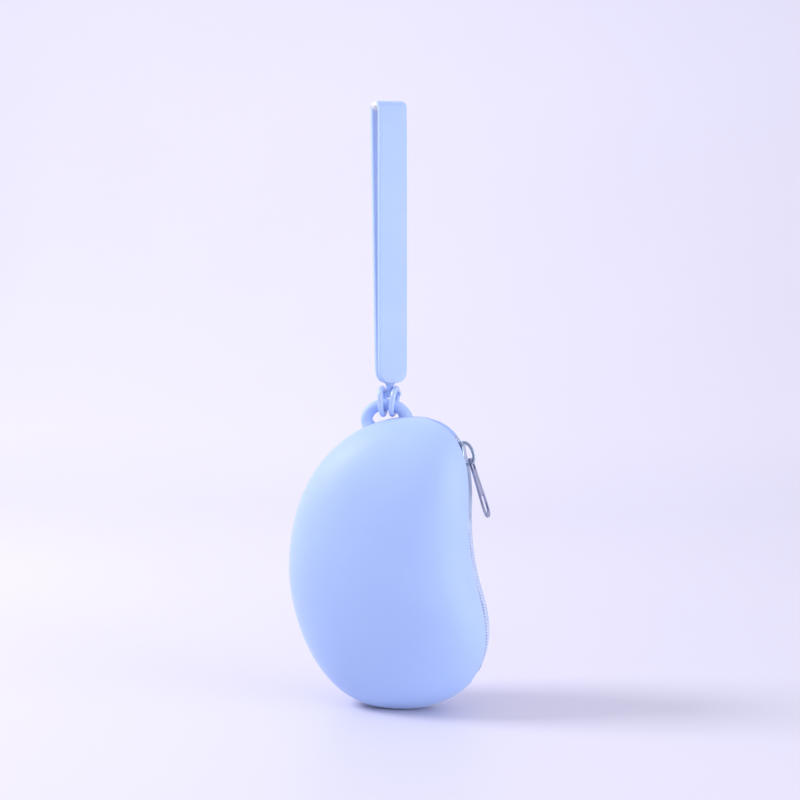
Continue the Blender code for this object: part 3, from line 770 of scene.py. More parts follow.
def row_of_teeth(name, side, shift):
    """Copies one tooth along the chain. The two rows are half a pitch apart."""
    pattern = tooth("tooth", side)
    first, last = TOP_STOP_END + FIT + TOOTH_PITCH / 4, BOTTOM_STOP_START - FIT
    count = int((last - first - TOOTH_PITCH / 2) / TOOTH_PITCH)
    copies = []
    for step in range(count + 1):
        made = pattern.copy()
        made.data = pattern.data.copy()
        bpy.context.collection.objects.link(made)
        lay(made, first + (step + shift) * TOOTH_PITCH)
        copies.append(made)
    bpy.data.objects.remove(pattern)
    row = joined(name, copies)
    fixed(row)
    print(name, "has", count + 1, "teeth")
    return settle(row, "pouch", "zip_teeth", "zip_" + name)


teeth = [row_of_teeth("teeth_front", -1, 0), row_of_teeth("teeth_back", 1, 0.5)]

# %% [markdown]
# ## Stops
#
# A small metal clip is pinched on at each end of a zip, so that the slider can't run off. Two single clips
# sit above the slider, one on each row, and a wider one holds both rows together at the bottom. A cube with
# rounded edges, almost level with the teeth, is all that such a pressed clip is.

# %% Pinch on the clips
STOP_EDGE = 0.32
STOP_GAP = 0.45
TOP_STOP_PROUD = -0.45
BOTTOM_STOP_PROUD = 0.12


def clip(name, start, low_y, high_y, proud):
    low, high = (-STOP_LONG / 2, low_y, -TOOTH_HEIGHT), (STOP_LONG / 2, high_y, proud)
    made = block(name, low, high, STOP_EDGE, 3)
    lay(made, start + STOP_LONG / 2)
    fixed(made)
    return settle(made, "pouch", "zip_metal", "zip_" + name)


top_start = TOP_STOP_END - STOP_LONG
stops = [
    clip("top_stop_front", top_start, -TOOTH_BACK, -STOP_GAP, TOP_STOP_PROUD),
    clip("top_stop_back", top_start, STOP_GAP, TOOTH_BACK, TOP_STOP_PROUD),
    clip("bottom_stop", BOTTOM_STOP_START, -TOOTH_BACK, TOOTH_BACK, BOTTOM_STOP_PROUD),
]

# %% [markdown]
# ## Slider
#
# A zip slider is a die casting: two plates joined by a wedge at the nose, with side walls that press the
# teeth together and a bridge on top that holds the pull tab. Each plate is drawn as a flat shape, given its
# thickness and rounded. The slider is modelled upright and then leaned onto the chain.

# %% Two plates, the wedge and the side walls
SLIDER_HALF = 5.0
SLIDER_SIDE = 3.6
PLATE = 1.0
PLATE_EDGE = 0.28
WEDGE_HALF = 0.2
WEDGE_TALL = 1.8
WEDGE_EDGE = 0.05
SIDE_WALL = 0.6
SIDE_WALL_EDGE = 0.15
SIDE_WALL_SPAN = (-1.5, 3.0)
NOSE_FROM = 1.5
PLATE_SHAPE = [(0.5, 1), (0.85, 0.88), (1, 0.5), (1, 0.1), (0.92, -0.5), (0.74, -1)]
UNDER_TOP = -TOOTH_HEIGHT - FIT - lip_fall(SLIDER_SIDE) - TAPE_THICK - FIT


def plan_shape(right):
    """A closed outline from its right half."""
    return right + [(-y, z) for y, z in reversed(right)]


def plate(name, outline, x_low, x_high, edge):
    """A flat shape in the plane across x, with a thickness and rounded edges."""
    made = fresh(circle_add, name, vertices=len(outline), radius=MM, fill_type="NGON")
    for vert, (y, z) in zip(made.data.vertices, outline):
        vert.co = spot(x_low, y, z)
    edit_all(made)
    bpy.ops.mesh.extrude_region_move(TRANSFORM_OT_translate={"value": spot(x_high - x_low, 0, 0)})
    done()
    outward(made)
    rounded(made, edge, 3, 50)
    return made


short_right = [(SLIDER_SIDE * across, SLIDER_HALF * up) for across, up in PLATE_SHAPE]
long_right = [(y, z + SLIDER_NOSE if z > NOSE_FROM else z) for y, z in short_right]
plate_top = FIT + PLATE
upper = plate("upper_plate", plan_shape(long_right), FIT, plate_top, PLATE_EDGE)
under = plate("under_plate", plan_shape(short_right), UNDER_TOP - PLATE, UNDER_TOP, PLATE_EDGE)
nose = SLIDER_HALF * 0.9
in_upper, in_under = plate_top - PLATE / 2, UNDER_TOP - PLATE / 2
wedge_low = (in_under, -WEDGE_HALF, nose - WEDGE_TALL)
wedge = block("wedge", wedge_low, (in_upper, WEDGE_HALF, nose), WEDGE_EDGE)
wall_out = SLIDER_SIDE * 0.98
wall_in = wall_out - SIDE_WALL
low_z, high_z = SIDE_WALL_SPAN
walls = [
    block("wall_front", (-TOOTH_HEIGHT, -wall_out, low_z), (in_upper, -wall_in, high_z), SIDE_WALL_EDGE),
    block("wall_back", (-TOOTH_HEIGHT, wall_in, low_z), (in_upper, wall_out, high_z), SIDE_WALL_EDGE),
]
print("the slider's casting has", 2 + 1 + len(walls), "parts so far")

# %% [markdown]
# ## Bridge
#
# The bridge is the slim arch that the tab hangs in. Seen from the side it climbs slowly from the nose and
# drops steeply at the tail. A rounded bar follows that line and is then joined to the plates.

# %% Arch the bridge and lean the slider onto the chain
BRIDGE_LINE = [(0, -0.15), (0, 0.18), (0.11, 0.55), (0.37, 0.88), (0.66, 1)]
BRIDGE_LINE += [(0.87, 0.92), (0.97, 0.66), (1, 0.3), (1, -0.15)]
BRIDGE_TOP = 6.3
BRIDGE_SPAN = 8.5
BRIDGE_RISE = 3.35
BRIDGE_BAR = (0.7, 0.65, 0.3)


def rounded_section(half_wide, half_thick, radius):
    """A rectangle with round corners of three points each, as (across, up)."""
    points = []
    for index, (wide, thick) in enumerate(((1, 1), (-1, 1), (-1, -1), (1, -1))):
        for step in range(3):
            turn = math.pi / 2 * (index + step / 2)
            across = wide * (half_wide - radius) + radius * math.cos(turn)
            points.append((across, thick * (half_thick - radius) + radius * math.sin(turn)))
    return points


bridge_line = [(plate_top + BRIDGE_RISE * up, BRIDGE_TOP - BRIDGE_SPAN * down) for down, up in BRIDGE_LINE]
bridge = pushed("bridge", rounded_section(*BRIDGE_BAR), stations(bridge_line))
capped(bridge)
smoothed(bridge)
slider = joined("slider", [upper, under, wedge, bridge] + walls)
REST_BELOW_TOP = 5.2
REST = RUN_TOP + RUN_HEADING * REST_BELOW_TOP
TILT = math.atan2(-RUN_HEADING.x, -RUN_HEADING.y)
slider.location = spot(REST.x, 0, REST.y)
slider.rotation_euler = (0, TILT, 0)
fixed(slider)
settle(slider, "slider", "slider_metal", "zip_slider")

# %% [markdown]
# ## Pull tab
#
# The tab is a long thin plate of plated metal, a little wider at its free end. Its top has an opening that
# leaves a bar to turn in the bridge, and its lower half has a long window. The openings are cut first and
# the edges rounded after, so that the light catches every rim, as it does in the photograph.

# %% Cut and round the tab, then hang it from the bridge
TAB_LONG = 23.2
TAB_HALF = 3.2
TAB_NECK = 2.3
TAB_SHEET = 0.36
TAB_EDGE = 0.16
TAB_TWIST = -9
TAB_LEAN = 17.5
TAB_EYE = (-4.0, -0.5, 1.5)
TAB_WINDOW = (-21.0, -14.4, 2.05)
CUT_DEEP = 2
CUT_EDGE = 0.01


def apply_boolean(target, other, operation):
    apply_modifier(target, "BOOLEAN", operation=operation, object=other, solver="EXACT")
    bpy.data.objects.remove(other)


def opening(target, name, low, high, half):
    """Cuts a window with round corners through the tab."""
    right = [(half * 0.55, high), (half * 0.87, high - half * 0.18), (half, high - half * 0.5)]
    right += [(half, low + half * 0.5), (half * 0.87, low + half * 0.18), (half * 0.55, low)]
    hole = plate(name, plan_shape(right), -CUT_DEEP, CUT_DEEP, CUT_EDGE)
    apply_boolean(target, hole, "DIFFERENCE")


END_STEPS = 7
tab_right = [(TAB_NECK * 0.8, 0.55), (TAB_NECK, 0.1), (TAB_NECK, -6), (TAB_HALF, -TAB_LONG + 1.6 * TAB_HALF)]
for step in range(END_STEPS):
    turn = math.pi / 2 * step / END_STEPS
    tab_right.append((TAB_HALF * math.cos(turn), -TAB_LONG + TAB_HALF * (1 - math.sin(turn))))
tab = plate("tab", plan_shape(tab_right), -TAB_SHEET, TAB_SHEET, CUT_EDGE)
opening(tab, "tab_eye", *TAB_EYE)
opening(tab, "tab_window", *TAB_WINDOW)
outward(tab)
rounded(tab, TAB_EDGE, 3, 40)
hinge = next(joint for joint in frame["joints"] if joint["name"] == "tab_swing")
tab.location = Vector(hinge["pos_m"]) - STANDING
tab.rotation_euler = (0, -math.radians(TAB_LEAN), math.radians(TAB_TWIST))
tab.rotation_mode = "ZYX"
fixed(tab)
settle(tab, "tab", "tab_metal", "pull_tab", angle=30)

# %% [markdown]
# ## Wrist strap
#
# The strap is one flat band of silicone, folded over at the top. Its two ends lie on each other at the
# bottom, where they are moulded together into a short neck. The band follows its side view: up the front,
# round the fold and down the back. Near each end it gets narrower along a round corner.

# %% Fold the band
STRAP_X = 0.7
STRAP_TURN = 45
STRAP_HALF = 6.45
STRAP_THICK = 2.0
STRAP_GAP = 3.4
STRAP_FOLD_R = (STRAP_GAP + STRAP_THICK) / 2
STRAP_CORNER = 4.8
STRAP_EDGE = 0.55
STRAP_END_INSET = 0.4
FOLD_TILT = 8
EYE_R = 1.5
NECK_LONG = 2.7
STRAP_LONG = 110
pin = next(joint for joint in frame["joints"] if joint["name"] == "right_hoop_swing")
PIN = (Vector(pin["pos_m"]) - STANDING) / MM
STRAP_LOW = PIN.z + EYE_R + NECK_LONG
STRAP_HIGH = STRAP_LOW + STRAP_LONG


def band_width(height):
    """The band's width as a share, at a height above its end."""
    if height >= STRAP_CORNER:
        return 1.0
    reach = math.sqrt(STRAP_CORNER**2 - (STRAP_CORNER - height) ** 2)
    return (STRAP_HALF - STRAP_CORNER + reach) / STRAP_HALF


BAND_HEIGHTS = [0, 0.25, 0.7, 1.4, 2.4, 3.8, 7, 14, 35, 62, 88]
FOLD_STEPS = 12
TAIL_LAP = 0.98
fold_z = STRAP_HIGH - STRAP_FOLD_R - STRAP_THICK / 2
levels = [STRAP_LOW + height for height in BAND_HEIGHTS]
front_line = [(-STRAP_FOLD_R, level) for level in levels]
arc = [math.pi * (1 - step / FOLD_STEPS) for step in range(FOLD_STEPS + 1)]
fold_line = [(STRAP_FOLD_R * math.cos(a), fold_z + STRAP_FOLD_R * math.sin(a)) for a in arc]


def back_x(level):
    """The back band comes in to lie on the front one at the tail."""
    at_tail = TAIL_LAP * STRAP_THICK - STRAP_FOLD_R
    return at_tail + (STRAP_FOLD_R - at_tail) * (level - STRAP_LOW) / (fold_z - STRAP_LOW)


back_line = [(back_x(level), level) for level in reversed(levels)]
strap_line = front_line + fold_line + back_line
widths = [band_width(level - STRAP_LOW) for level in levels] + [1.0] * len(fold_line)
widths += [band_width(level - STRAP_LOW) for level in reversed(levels)]
band = pushed(
    "band",
    rounded_section(STRAP_HALF, STRAP_THICK / 2, STRAP_EDGE),
    stations(strap_line, [(width, 1) for width in widths]),
)
capped(band, STRAP_END_INSET)
choose(band, lambda co: co.z > (fold_z - 0.1) * MM)
bpy.ops.transform.rotate(
    value=math.radians(FOLD_TILT), orient_axis="X", orient_type="GLOBAL", center_override=spot(0, 0, fold_z)
)
done()
smoothed(band)
band.location = spot(STRAP_X, 0, 0)
band.rotation_euler = (0, 0, math.radians(STRAP_TURN + 90))
fixed(band)
print("the band has", len(band.data.polygons), "faces")

# %% [markdown]
# ## Neck and eye
#
# Below the tail the strap ends in a short neck with an eye for the pin. On the real strap they run into
# each other with soft fillets, as moulded silicone does. Here a ring and a neck are laid into each other,
# wrapped in one even skin by a voxel remesh, and smoothed.

# %% Wrap the neck and the eye in one skin
EYE_HALF = 1.4
EYE_WALL = 0.25
SKIN_VOXEL = 0.12
tail_turn = math.radians(STRAP_TURN)
TAIL_OUT = STRAP_FOLD_R - TAIL_LAP / 2 * STRAP_THICK
TAIL_RISE = 1.6
NECK_SWELL = [(0.3, 1.0), (0.46, 1.15), (0.62, 1.5), (0.75, 1.6), (1.0, 1.3)]
EDGE_ON = (0, math.pi / 2, 0)
tail_x, tail_y = STRAP_X + TAIL_OUT * math.sin(tail_turn), -TAIL_OUT * math.cos(tail_turn)
TAIL_PLACE = Vector((tail_x, tail_y, STRAP_LOW + TAIL_RISE))


def torus(name, radius, wire, around, across):
    """A ring that stands upright and is seen edge on from the front."""
    made = fresh(
        bpy.ops.mesh.primitive_torus_add, name, major_segments=around, minor_segments=across,
        major_radius=radius * MM, minor_radius=wire * MM, rotation=EDGE_ON,
    )
    fixed(made)
    return made


eye = torus("eye", EYE_R - EYE_WALL, EYE_WALL, 40, 14)
edit_all(eye)
bpy.ops.transform.resize(value=(EYE_HALF / EYE_WALL, 1, 1))
bpy.ops.transform.translate(value=PIN * MM)
done()

neck_foot = Vector((PIN.x, 0, PIN.z + EYE_R - EYE_WALL))
neck = fresh(circle_add, "neck", vertices=20, radius=EYE_HALF * MM, location=neck_foot * MM)
fixed(neck)
edit_all(neck)
reached = (0.0, 1.0)
for height, swell in NECK_SWELL:
    rise = (TAIL_PLACE - neck_foot) * (height - reached[0])
    bpy.ops.mesh.extrude_edges_move(TRANSFORM_OT_translate={"value": rise * MM})
    middle = neck_foot + (TAIL_PLACE - neck_foot) * height
    size = swell / reached[1]
    bpy.ops.transform.resize(value=(size, size, 1), center_override=middle * MM)
    reached = (height, swell)
done()
capped(neck)
apply_boolean(eye, neck, "UNION")
apply_modifier(eye, "REMESH", mode="VOXEL", voxel_size=SKIN_VOXEL * MM)
apply_modifier(eye, "SMOOTH", factor=0.5, iterations=6)
strap = joined("strap", [band, eye])
settle(strap, "strap", "strap_silicone", "wrist_strap", angle=60)

# %% [markdown]
# ## Hoops
#
# Two wire hoops hang on a short pin through the strap's eye and go round the ring's bar. Each hoop is a
# torus whose upper half is lifted, and its lower half lowered, to make it oval.

# %% Bend two hoops
WIRE_R = 1.1
HOOP_HALF = 4.0
PIN_R = 0.7
HOOP_ABOVE = PIN_R + FIT + WIRE_R
HOOP_BELOW = 8.03
HOOP_OUT = 2.65


def hoop(where, side, lean):
    """One of the two hoops, lifted to an oval, hung on the pin and leaned a little."""
    made = torus("hoop_" + where, HOOP_HALF, WIRE_R, 64, 20)
    lift = (HOOP_ABOVE + HOOP_BELOW) / 2 - HOOP_HALF
    for sign in (1, -1):
        choose(made, lambda co, sign=sign: co.z * sign > 0.02 * MM)
        bpy.ops.transform.translate(value=spot(0, 0, sign * lift))
        done()
    edit_all(made)
    bpy.ops.transform.translate(value=spot(0, 0, (HOOP_ABOVE - HOOP_BELOW) / 2))
    done()
    made.location = (PIN + Vector((side * HOOP_OUT, 0, 0))) * MM
    made.rotation_euler = (0, math.radians(lean), 0)
    fixed(made)
    return settle(made, where + "_hoop", "link_paint", "link_" + where)


hoops = [hoop("left", -1, -3), hoop("right", 1, 9)]

# %% [markdown]
# ## Pin and cap
#
# The pin is a round bar with a domed head, and a cap of the same form closes its other end. Each starts as a
# circle, which is pushed along x and resized to its profile, as on a lathe. Both are small, but their round
# rims catch the light.

# %% Turn the pin and its cap
PIN_HEAD_R = 1.15
DOME_RISE = 0.4
DOME_INSET = 0.1
TIP_LONG = 0.12
BAR_SIDES = 28


def turned_bar(name, profile):
    """A round piece along x from its profile of (x, radius), which starts and ends on the axis."""
    made = fresh(circle_add, name, vertices=BAR_SIDES, radius=profile[1][1] * MM, rotation=EDGE_ON)
    fixed(made)
    edit_all(made)
    bpy.ops.transform.translate(value=spot(profile[1][0], 0, 0))
    for before, after in zip(profile[1:-1], profile[2:-1]):
        bpy.ops.mesh.extrude_edges_move(TRANSFORM_OT_translate={"value": spot(after[0] - before[0], 0, 0)})
        size = after[1] / before[1]
        bpy.ops.transform.resize(value=(1, size, size), center_override=spot(after[0], 0, 0))
    done()
    capped(made)
    made.location = PIN * MM
    fixed(made)
    return made


def domed(x_flat, x_top, radius):
    """The profile of a low dome from its flat side to its top."""
    rise = x_top - x_flat
    return [
        (x_flat, radius * 0.94), (x_flat + rise * 0.15, radius), (x_flat + rise * 0.45, radius * 0.97),
        (x_flat + rise * 0.75, radius * 0.8), (x_flat + rise * 0.95, radius * 0.45), (x_top, radius * 0.1),
    ]


pin_low, pin_high = [(corner.x - STANDING.x) / MM - PIN.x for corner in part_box("link_pin")]
cap_low, cap_high = [(corner.x - STANDING.x) / MM - PIN.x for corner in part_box("link_pin_cap")]
head_top = pin_low + DOME_INSET
head_flat = head_top + DOME_RISE
cap_top = cap_high - DOME_RISE
head = domed(head_flat, head_top, PIN_HEAD_R)[::-1]
shank = [(head_flat, PIN_R), (pin_high - TIP_LONG, PIN_R), (pin_high, PIN_R * 0.8)]
pin_bar = turned_bar("pin", [(head_top, 0)] + head + shank + [(pin_high, 0)])
settle(pin_bar, "strap", "link_paint", "link_pin")
pin_cap = turned_bar("pin_cap", [(cap_low, 0)] + domed(cap_low, cap_top, PIN_HEAD_R) + [(cap_top, 0)])
settle(pin_cap, "strap", "link_paint", "link_pin_cap")

# %% [markdown]
# ## Writing finishes as sums
#
# A finish in Blender is a web of nodes. A small class makes it readable: it wraps a value that flows between
# nodes, so that a sum or a product on it adds the Math node that works it out.


# %% A value that flows between nodes
class Flow:
    """A value that flows between nodes. Sums on it add Math nodes."""

    def __init__(self, recipe, socket):
        self.recipe = recipe
        self.socket = socket

    def sum(self, operation, first, second):
        return self.recipe.add("Math", {"operation": operation}, {0: first, 1: second})

    def __add__(self, other):
        return self.sum("ADD", self, other)

    def __radd__(self, other):
        return self.sum("ADD", other, self)

    def __sub__(self, other):
        return self.sum("SUBTRACT", self, other)

    def __rsub__(self, other):
        return self.sum("SUBTRACT", other, self)

    def __mul__(self, other):
        return self.sum("MULTIPLY", self, other)

    def __rmul__(self, other):
        return self.sum("MULTIPLY", other, self)


print(Flow.__name__, "is", Flow.__doc__)

# %% [markdown]
# ## A recipe for a finish
#
# The recipe holds a material and its shader. Values that are the same all over are set once, any node comes
# from one method, and what changes over the surface is fed to the shader at the end.


# %% The recipe
class Recipe:
    """One finish: its shader, the values that are the same all over, and what changes over the surface."""

    def __init__(self, name, **even):
        self.material = bpy.data.materials.new(name)
        self.material.use_nodes = True
        self.tree = self.material.node_tree
        self.shader = self.tree.nodes["Principled BSDF"]
        for key, value in even.items():
            self.shader.inputs[key.replace("_", " ").title().replace("Ior", "IOR")].default_value = value

    def add(self, kind, settings=None, values=None, out=0):
        """Any node: its settings first, then its values or links."""
        node = self.tree.nodes.new("ShaderNode" + kind)
        for key, value in (settings or {}).items():
            setattr(node, key, value)
        for key, value in (values or {}).items():
            self.give(node.inputs[key], value)
        return Flow(self, node.outputs[out])

    def give(self, socket, value):
        if isinstance(value, Flow):
            self.tree.links.new(value.socket, socket)
        else:
            socket.default_value = value

    def feed(self, **inputs):
        for key, value in inputs.items():
            self.give(self.shader.inputs[key.replace("_", " ").title()], value)
        return self.material

    def place(self):
        return self.add("TexCoord", out="Object")

    def split(self, vector=None):
        """The three parts of a vector, or of the place."""
        node = self.add("SeparateXYZ", None, {"Vector": vector or self.place()}).socket.node
        return [Flow(self, part) for part in node.outputs]

    def noise(self, scale, detail=2.0, rough=0.5, where=None):
        values = {"Vector": where or self.place(), "Scale": scale, "Detail": detail, "Roughness": rough}
        return self.add("TexNoise", None, values)

    def spread(self, value, low, high, to_low, to_high):
        """Takes one span of values to another, and holds it at its ends."""
        values = {"Value": value, 1: low, 2: high, 3: to_low, 4: to_high}
        return self.add("MapRange", {"clamp": True}, values)

    def tint(self, factor, first, second):
        """Between two colours."""
        values = {0: factor, 6: first, 7: second}
        return self.add("Mix", {"data_type": "RGBA"}, values, out=2)

    def sum_of(self, operation, value):
        """A sum on one value, such as its sine."""
        return self.add("Math", {"operation": operation}, {0: value})

    def bump(self, height, distance, strength=1.0):
        values = {"Height": height, "Distance": distance * MM, "Strength": strength}
        return self.add("Bump", None, values)


print(Recipe.__name__, "is", Recipe.__doc__)

# %% [markdown]
# ## Colours
#
# Colours are easiest to pick as they look on a screen, from 0 to 255. A shader works with amounts of light
# instead, which grow faster than the eye's steps, so each colour is turned into those first.


# %% Paint pieces, and turn colours into light
def paint(finish, *objects):
    """Gives a finish to pieces."""
    for obj in objects:
        obj.data.materials.clear()
        obj.data.materials.append(finish)


def shade(red, green, blue):
    """A colour as it is seen, turned into the light values that a shader needs."""
    return tuple(((value / 255 + 0.055) / 1.055) ** 2.4 for value in (red, green, blue)) + (1.0,)


print("a mid grey is", [round(value, 3) for value in shade(128, 128, 128)])

# %% [markdown]
# ## Where the silicone is painted paler
#
# Light is thrown to and fro between close pale walls, and makes them paler still. That happens in the zip's
# slot and inside the strap's fold, and this bounce light is painted into the silicone's colour there. Two
# masks find these places from their distance to a plane or a line: each is 1 there, 0 elsewhere, and has a
# soft edge.

# %% Masks for the fold and the slot
PALE_HEIGHTS = (12, 99)
PALE_FROM_X = 13
FOLD_SOFT = 0.15
FOLD_TOP_FADE = 0.8


def inside_fold(recipe):
    """Where the strap's two bands face each other and bounce light is painted: 1 there and 0 elsewhere."""
    turn = math.radians(STRAP_TURN)
    out_of_band = (math.sin(turn), -math.cos(turn), 0)
    settings = {"operation": "DOT_PRODUCT"}
    away = recipe.add("VectorMath", settings, {0: recipe.place(), 1: out_of_band}, out=1)
    level = recipe.split()[2]
    centre = (STRAP_X * MM + STANDING.x) * math.sin(turn)
    half = (STRAP_FOLD_R - STRAP_THICK / 2) * MM
    low, top = STRAP_LOW * MM + STANDING.z, fold_z * MM + STANDING.z
    slope = (back_x(fold_z) - back_x(STRAP_LOW)) * MM / (top - low)
    off = away - centre
    back = back_x(STRAP_LOW) * MM - STRAP_THICK / 2 * MM - low * slope
    soft = FOLD_SOFT * MM
    fade = top + half + FOLD_TOP_FADE * MM
    past_front = recipe.spread(-1 * off, -half - soft, -half + soft, 0, 1)
    before_back = recipe.spread(-1 * off - level * slope, back - soft, back + soft, 1, 0)
    return past_front * before_back * recipe.spread(level, top + half, fade, 1, 0)


def inside_slot(recipe):
    """The walls of the zip's slot, where bounce light is painted: 1 there and 0 elsewhere."""
    x, y, z = recipe.split()
    off_lobe = recipe.sum_of("ABSOLUTE", z - (STANDING.z + LOBE_Z * MM))
    wave = recipe.sum_of("COSINE", recipe.spread(off_lobe, 0, LOBE_SPAN * MM, 0, math.pi))
    lip = LIP_Y * MM + LOBE_WIDER * MM * 0.5 * (1 + wave)
    walls = recipe.spread(recipe.sum_of("ABSOLUTE", y) - lip, -0.1 * MM, 0.35 * MM, 1, 0)
    right = recipe.spread(x, PALE_FROM_X * MM, (PALE_FROM_X + 2) * MM, 0, 1)
    low, high = [STANDING.z + height * MM for height in PALE_HEIGHTS]
    above = recipe.spread(z, low, low + 1 * MM, 0, 1)
    below = recipe.spread(z, high - 5 * MM, high, 1, 0)
    return walls * right * above * below


print("the slot's walls are paler from", PALE_HEIGHTS[0], "to", PALE_HEIGHTS[1], "mm above the base")

# %% [markdown]
# ## Silicone
#
# Moulded silicone is soft and matte, with a powdery touch. Light enters it a little and comes out again,
# and its mould leaves a very fine grain. The recipe has a broad, faint change of tone, a grain of about a
# fifth of a millimetre, and a little sheen for the powdery rim. A mask paints bounce light, a paler colour,
# into the zip's slot and the strap's fold.


# %% Two silicones, for the pouch and the strap
def silicone(name, colour, deep, rough, grain, soft, mask, pale):
    """Soft matte silicone, with a paler colour painted as bounce light where a mask says so."""
    recipe = Recipe(
        name, subsurface_weight=soft, subsurface_radius=(0.004, 0.005, 0.008), subsurface_scale=0.4,
        sheen_weight=0.32, sheen_roughness=0.45, ior=1.42,
    )
    cloud = recipe.spread(recipe.noise(28, 3, 0.55), 0.3, 0.7, 0, 1)
    fine = recipe.noise(2600, 3, 0.6)
    speck = recipe.spread(recipe.noise(5200), 0.66, 0.8, 0, 1)
    # the mask's paler colour is painted bounce light
    tone = recipe.tint(mask(recipe), recipe.tint(cloud * 0.7 + speck * 0.25, colour, deep), pale)
    rub = recipe.spread(recipe.noise(75, 4, 0.6), 0.35, 0.75, -0.03, 0.05)
    relief = fine + 0.35 * recipe.noise(900)
    return recipe.feed(
        base_color=tone,
        roughness=rub + fine * 0.06 + (rough - 0.03),
        normal=recipe.bump(relief, grain, 0.5),
    )


# pale is painted bounce light: on the slot's walls for the pouch, in the fold for the strap
pouch_finish = silicone(
    "pouch_silicone", shade(180, 206, 255), shade(175, 201, 254), rough=0.5, grain=0.02, soft=0.1,
    mask=inside_slot, pale=shade(218, 230, 250),
)
strap_finish = silicone(
    "strap_silicone", shade(181, 206, 255), shade(176, 201, 254), rough=0.48, grain=0.015, soft=0.35,
    mask=inside_fold, pale=shade(255, 252, 244),
)
paint(pouch_finish, shell, ring)
paint(strap_finish, strap)
print("silicone is on", [shell.name, ring.name, strap.name])

# %% [markdown]
# ## Woven tape
#
# Zip tape is a dense weave of fine polyester yarns. The pattern has to follow the tape round its curve, so
# it reads the tape's own map. Two waves, one along and one across, make the yarns, and they lift the
# surface a little where they cross over.

# %% Weave the tape
YARN = 0.42


def woven(name, colour, deep):
    recipe = Recipe(name, sheen_weight=0.2, sheen_roughness=0.5)
    along, across, _ = recipe.split(recipe.add("UVMap", {"uv_map": "tape_map"}))
    turns = 2 * math.pi / (YARN * MAP_SCALE)
    warp = recipe.sum_of("SINE", across * turns)
    weft = recipe.sum_of("SINE", along * (turns * 0.8))
    cloth = 0.5 + 0.25 * warp + 0.25 * weft * warp
    fuzz = recipe.noise(3500, 2, 0.6)
    tone = recipe.tint(recipe.spread(cloth * 0.8 + fuzz * 0.3, 0.2, 0.9, 0, 1), deep, colour)
    return recipe.feed(
        base_color=tone,
        roughness=0.88 - 0.12 * cloth,
        normal=recipe.bump(cloth + 0.3 * fuzz, 0.08, 0.8),
    )


tape_finish = woven("zip_tape_weave", shade(214, 227, 250), shade(188, 204, 234))
paint(tape_finish, *tapes)
print("the weave has a yarn every", YARN, "mm")

# %% [markdown]
# ## Nylon teeth
#
# The coil is nylon: a smooth plastic, dyed as pale as its tape. Fine streaks and a slight change of tone from
# tooth to tooth keep it from looking like one solid bar.


# %% Colour the teeth
def nylon(name, colour, deep):
    recipe = Recipe(name, ior=1.5)
    streak = recipe.noise(1500, 3, 0.6)
    patch = recipe.spread(recipe.noise(260), 0.35, 0.65, 0, 1)
    tone = recipe.tint(patch * 0.6 + streak * 0.4, colour, deep)
    return recipe.feed(
        base_color=tone,
        roughness=0.34 + 0.16 * streak,
        normal=recipe.bump(streak, 0.012, 0.5),
    )


paint(nylon("zip_nylon", shade(214, 227, 250), shade(190, 206, 238)), *teeth)
print("nylon is on", [row.name for row in teeth])

# %% [markdown]
# ## Plated metal
#
# The slider, its tab and the stops are plated: bright where they face the light, with a bluish grey in
# their shadows. Handling leaves hair-fine scratches and a faint haze of fingerprints. The scratches are a
# noise that is stretched along the piece, and the haze is a broad noise on the roughness.


# %% Plate the metal
def plated(name, colour, deep, rough, stretch, turn=0.0):
    recipe = Recipe(name, metallic=1.0, ior=2.5)
    settings = {"vector_type": "POINT"}
    values = {"Vector": recipe.place(), "Rotation": (0, turn, 0), "Scale": stretch}
    brushed = recipe.noise(900, 4, 0.65, recipe.add("Mapping", settings, values))
    haze = recipe.spread(recipe.noise(160, 3, 0.6), 0.4, 0.7, 0, 1)
    pit = recipe.spread(recipe.noise(2400), 0.68, 0.8, 0, 1)
    tone = recipe.tint(haze * 0.5 + pit * 0.4, colour, deep)
    return recipe.feed(
        base_color=tone,
        roughness=rough + 0.1 * haze + 0.12 * pit + 0.06 * brushed,
        normal=recipe.bump(brushed - 0.4 * pit, 0.006, 0.5),
    )


tab_turn = math.radians(TAB_LEAN)
slider_finish = plated("slider_plating", shade(190, 208, 226), shade(156, 176, 200), 0.2, (1, 1, 0.3), -TILT)
tab_finish = plated("tab_plating", shade(178, 184, 208), shade(142, 148, 174), 0.16, (2, 2, 0.12), tab_turn)
stop_finish = plated("stop_plating", shade(196, 208, 226), shade(160, 172, 194), 0.28, (1, 1, 1))
paint(slider_finish, slider)
paint(tab_finish, tab)
paint(stop_finish, *stops)
print("three platings are on", len([slider, tab] + stops), "pieces")

# %% [markdown]
# ## Painted wire
#
# The two hoops and the pin are metal wire, painted in the strap's blue. Paint on such small wire pools a
# little and is never quite even, so it has a soft orange peel, and a thin clear coat that rubs dull.


# %% Paint the wire
def painted(name, colour, deep):
    recipe = Recipe(name, coat_roughness=0.12, ior=1.5)
    peel = recipe.noise(700)
    rub = recipe.spread(recipe.noise(420, 4, 0.65), 0.5, 0.75, 0, 1)
    tone = recipe.tint(rub * 0.6 + peel * 0.3, colour, deep)
    return recipe.feed(
        base_color=tone,
        roughness=0.3 + 0.2 * rub,
        coat_weight=0.5 - 0.4 * rub,
        normal=recipe.bump(peel, 0.02, 0.4),
    )


paint(painted("link_enamel", shade(186, 210, 252), shade(170, 195, 246)), pin_bar, pin_cap, *hoops)
print("paint is on the pin, its cap and", len(hoops), "hoops")

# %% [markdown]
# ## Studio
#
# The photograph was taken on a pale sweep: a sheet that lies on the table and curves up behind, so that no
# edge shows. The sheet is a plane whose far edge is pushed on along a quarter circle.

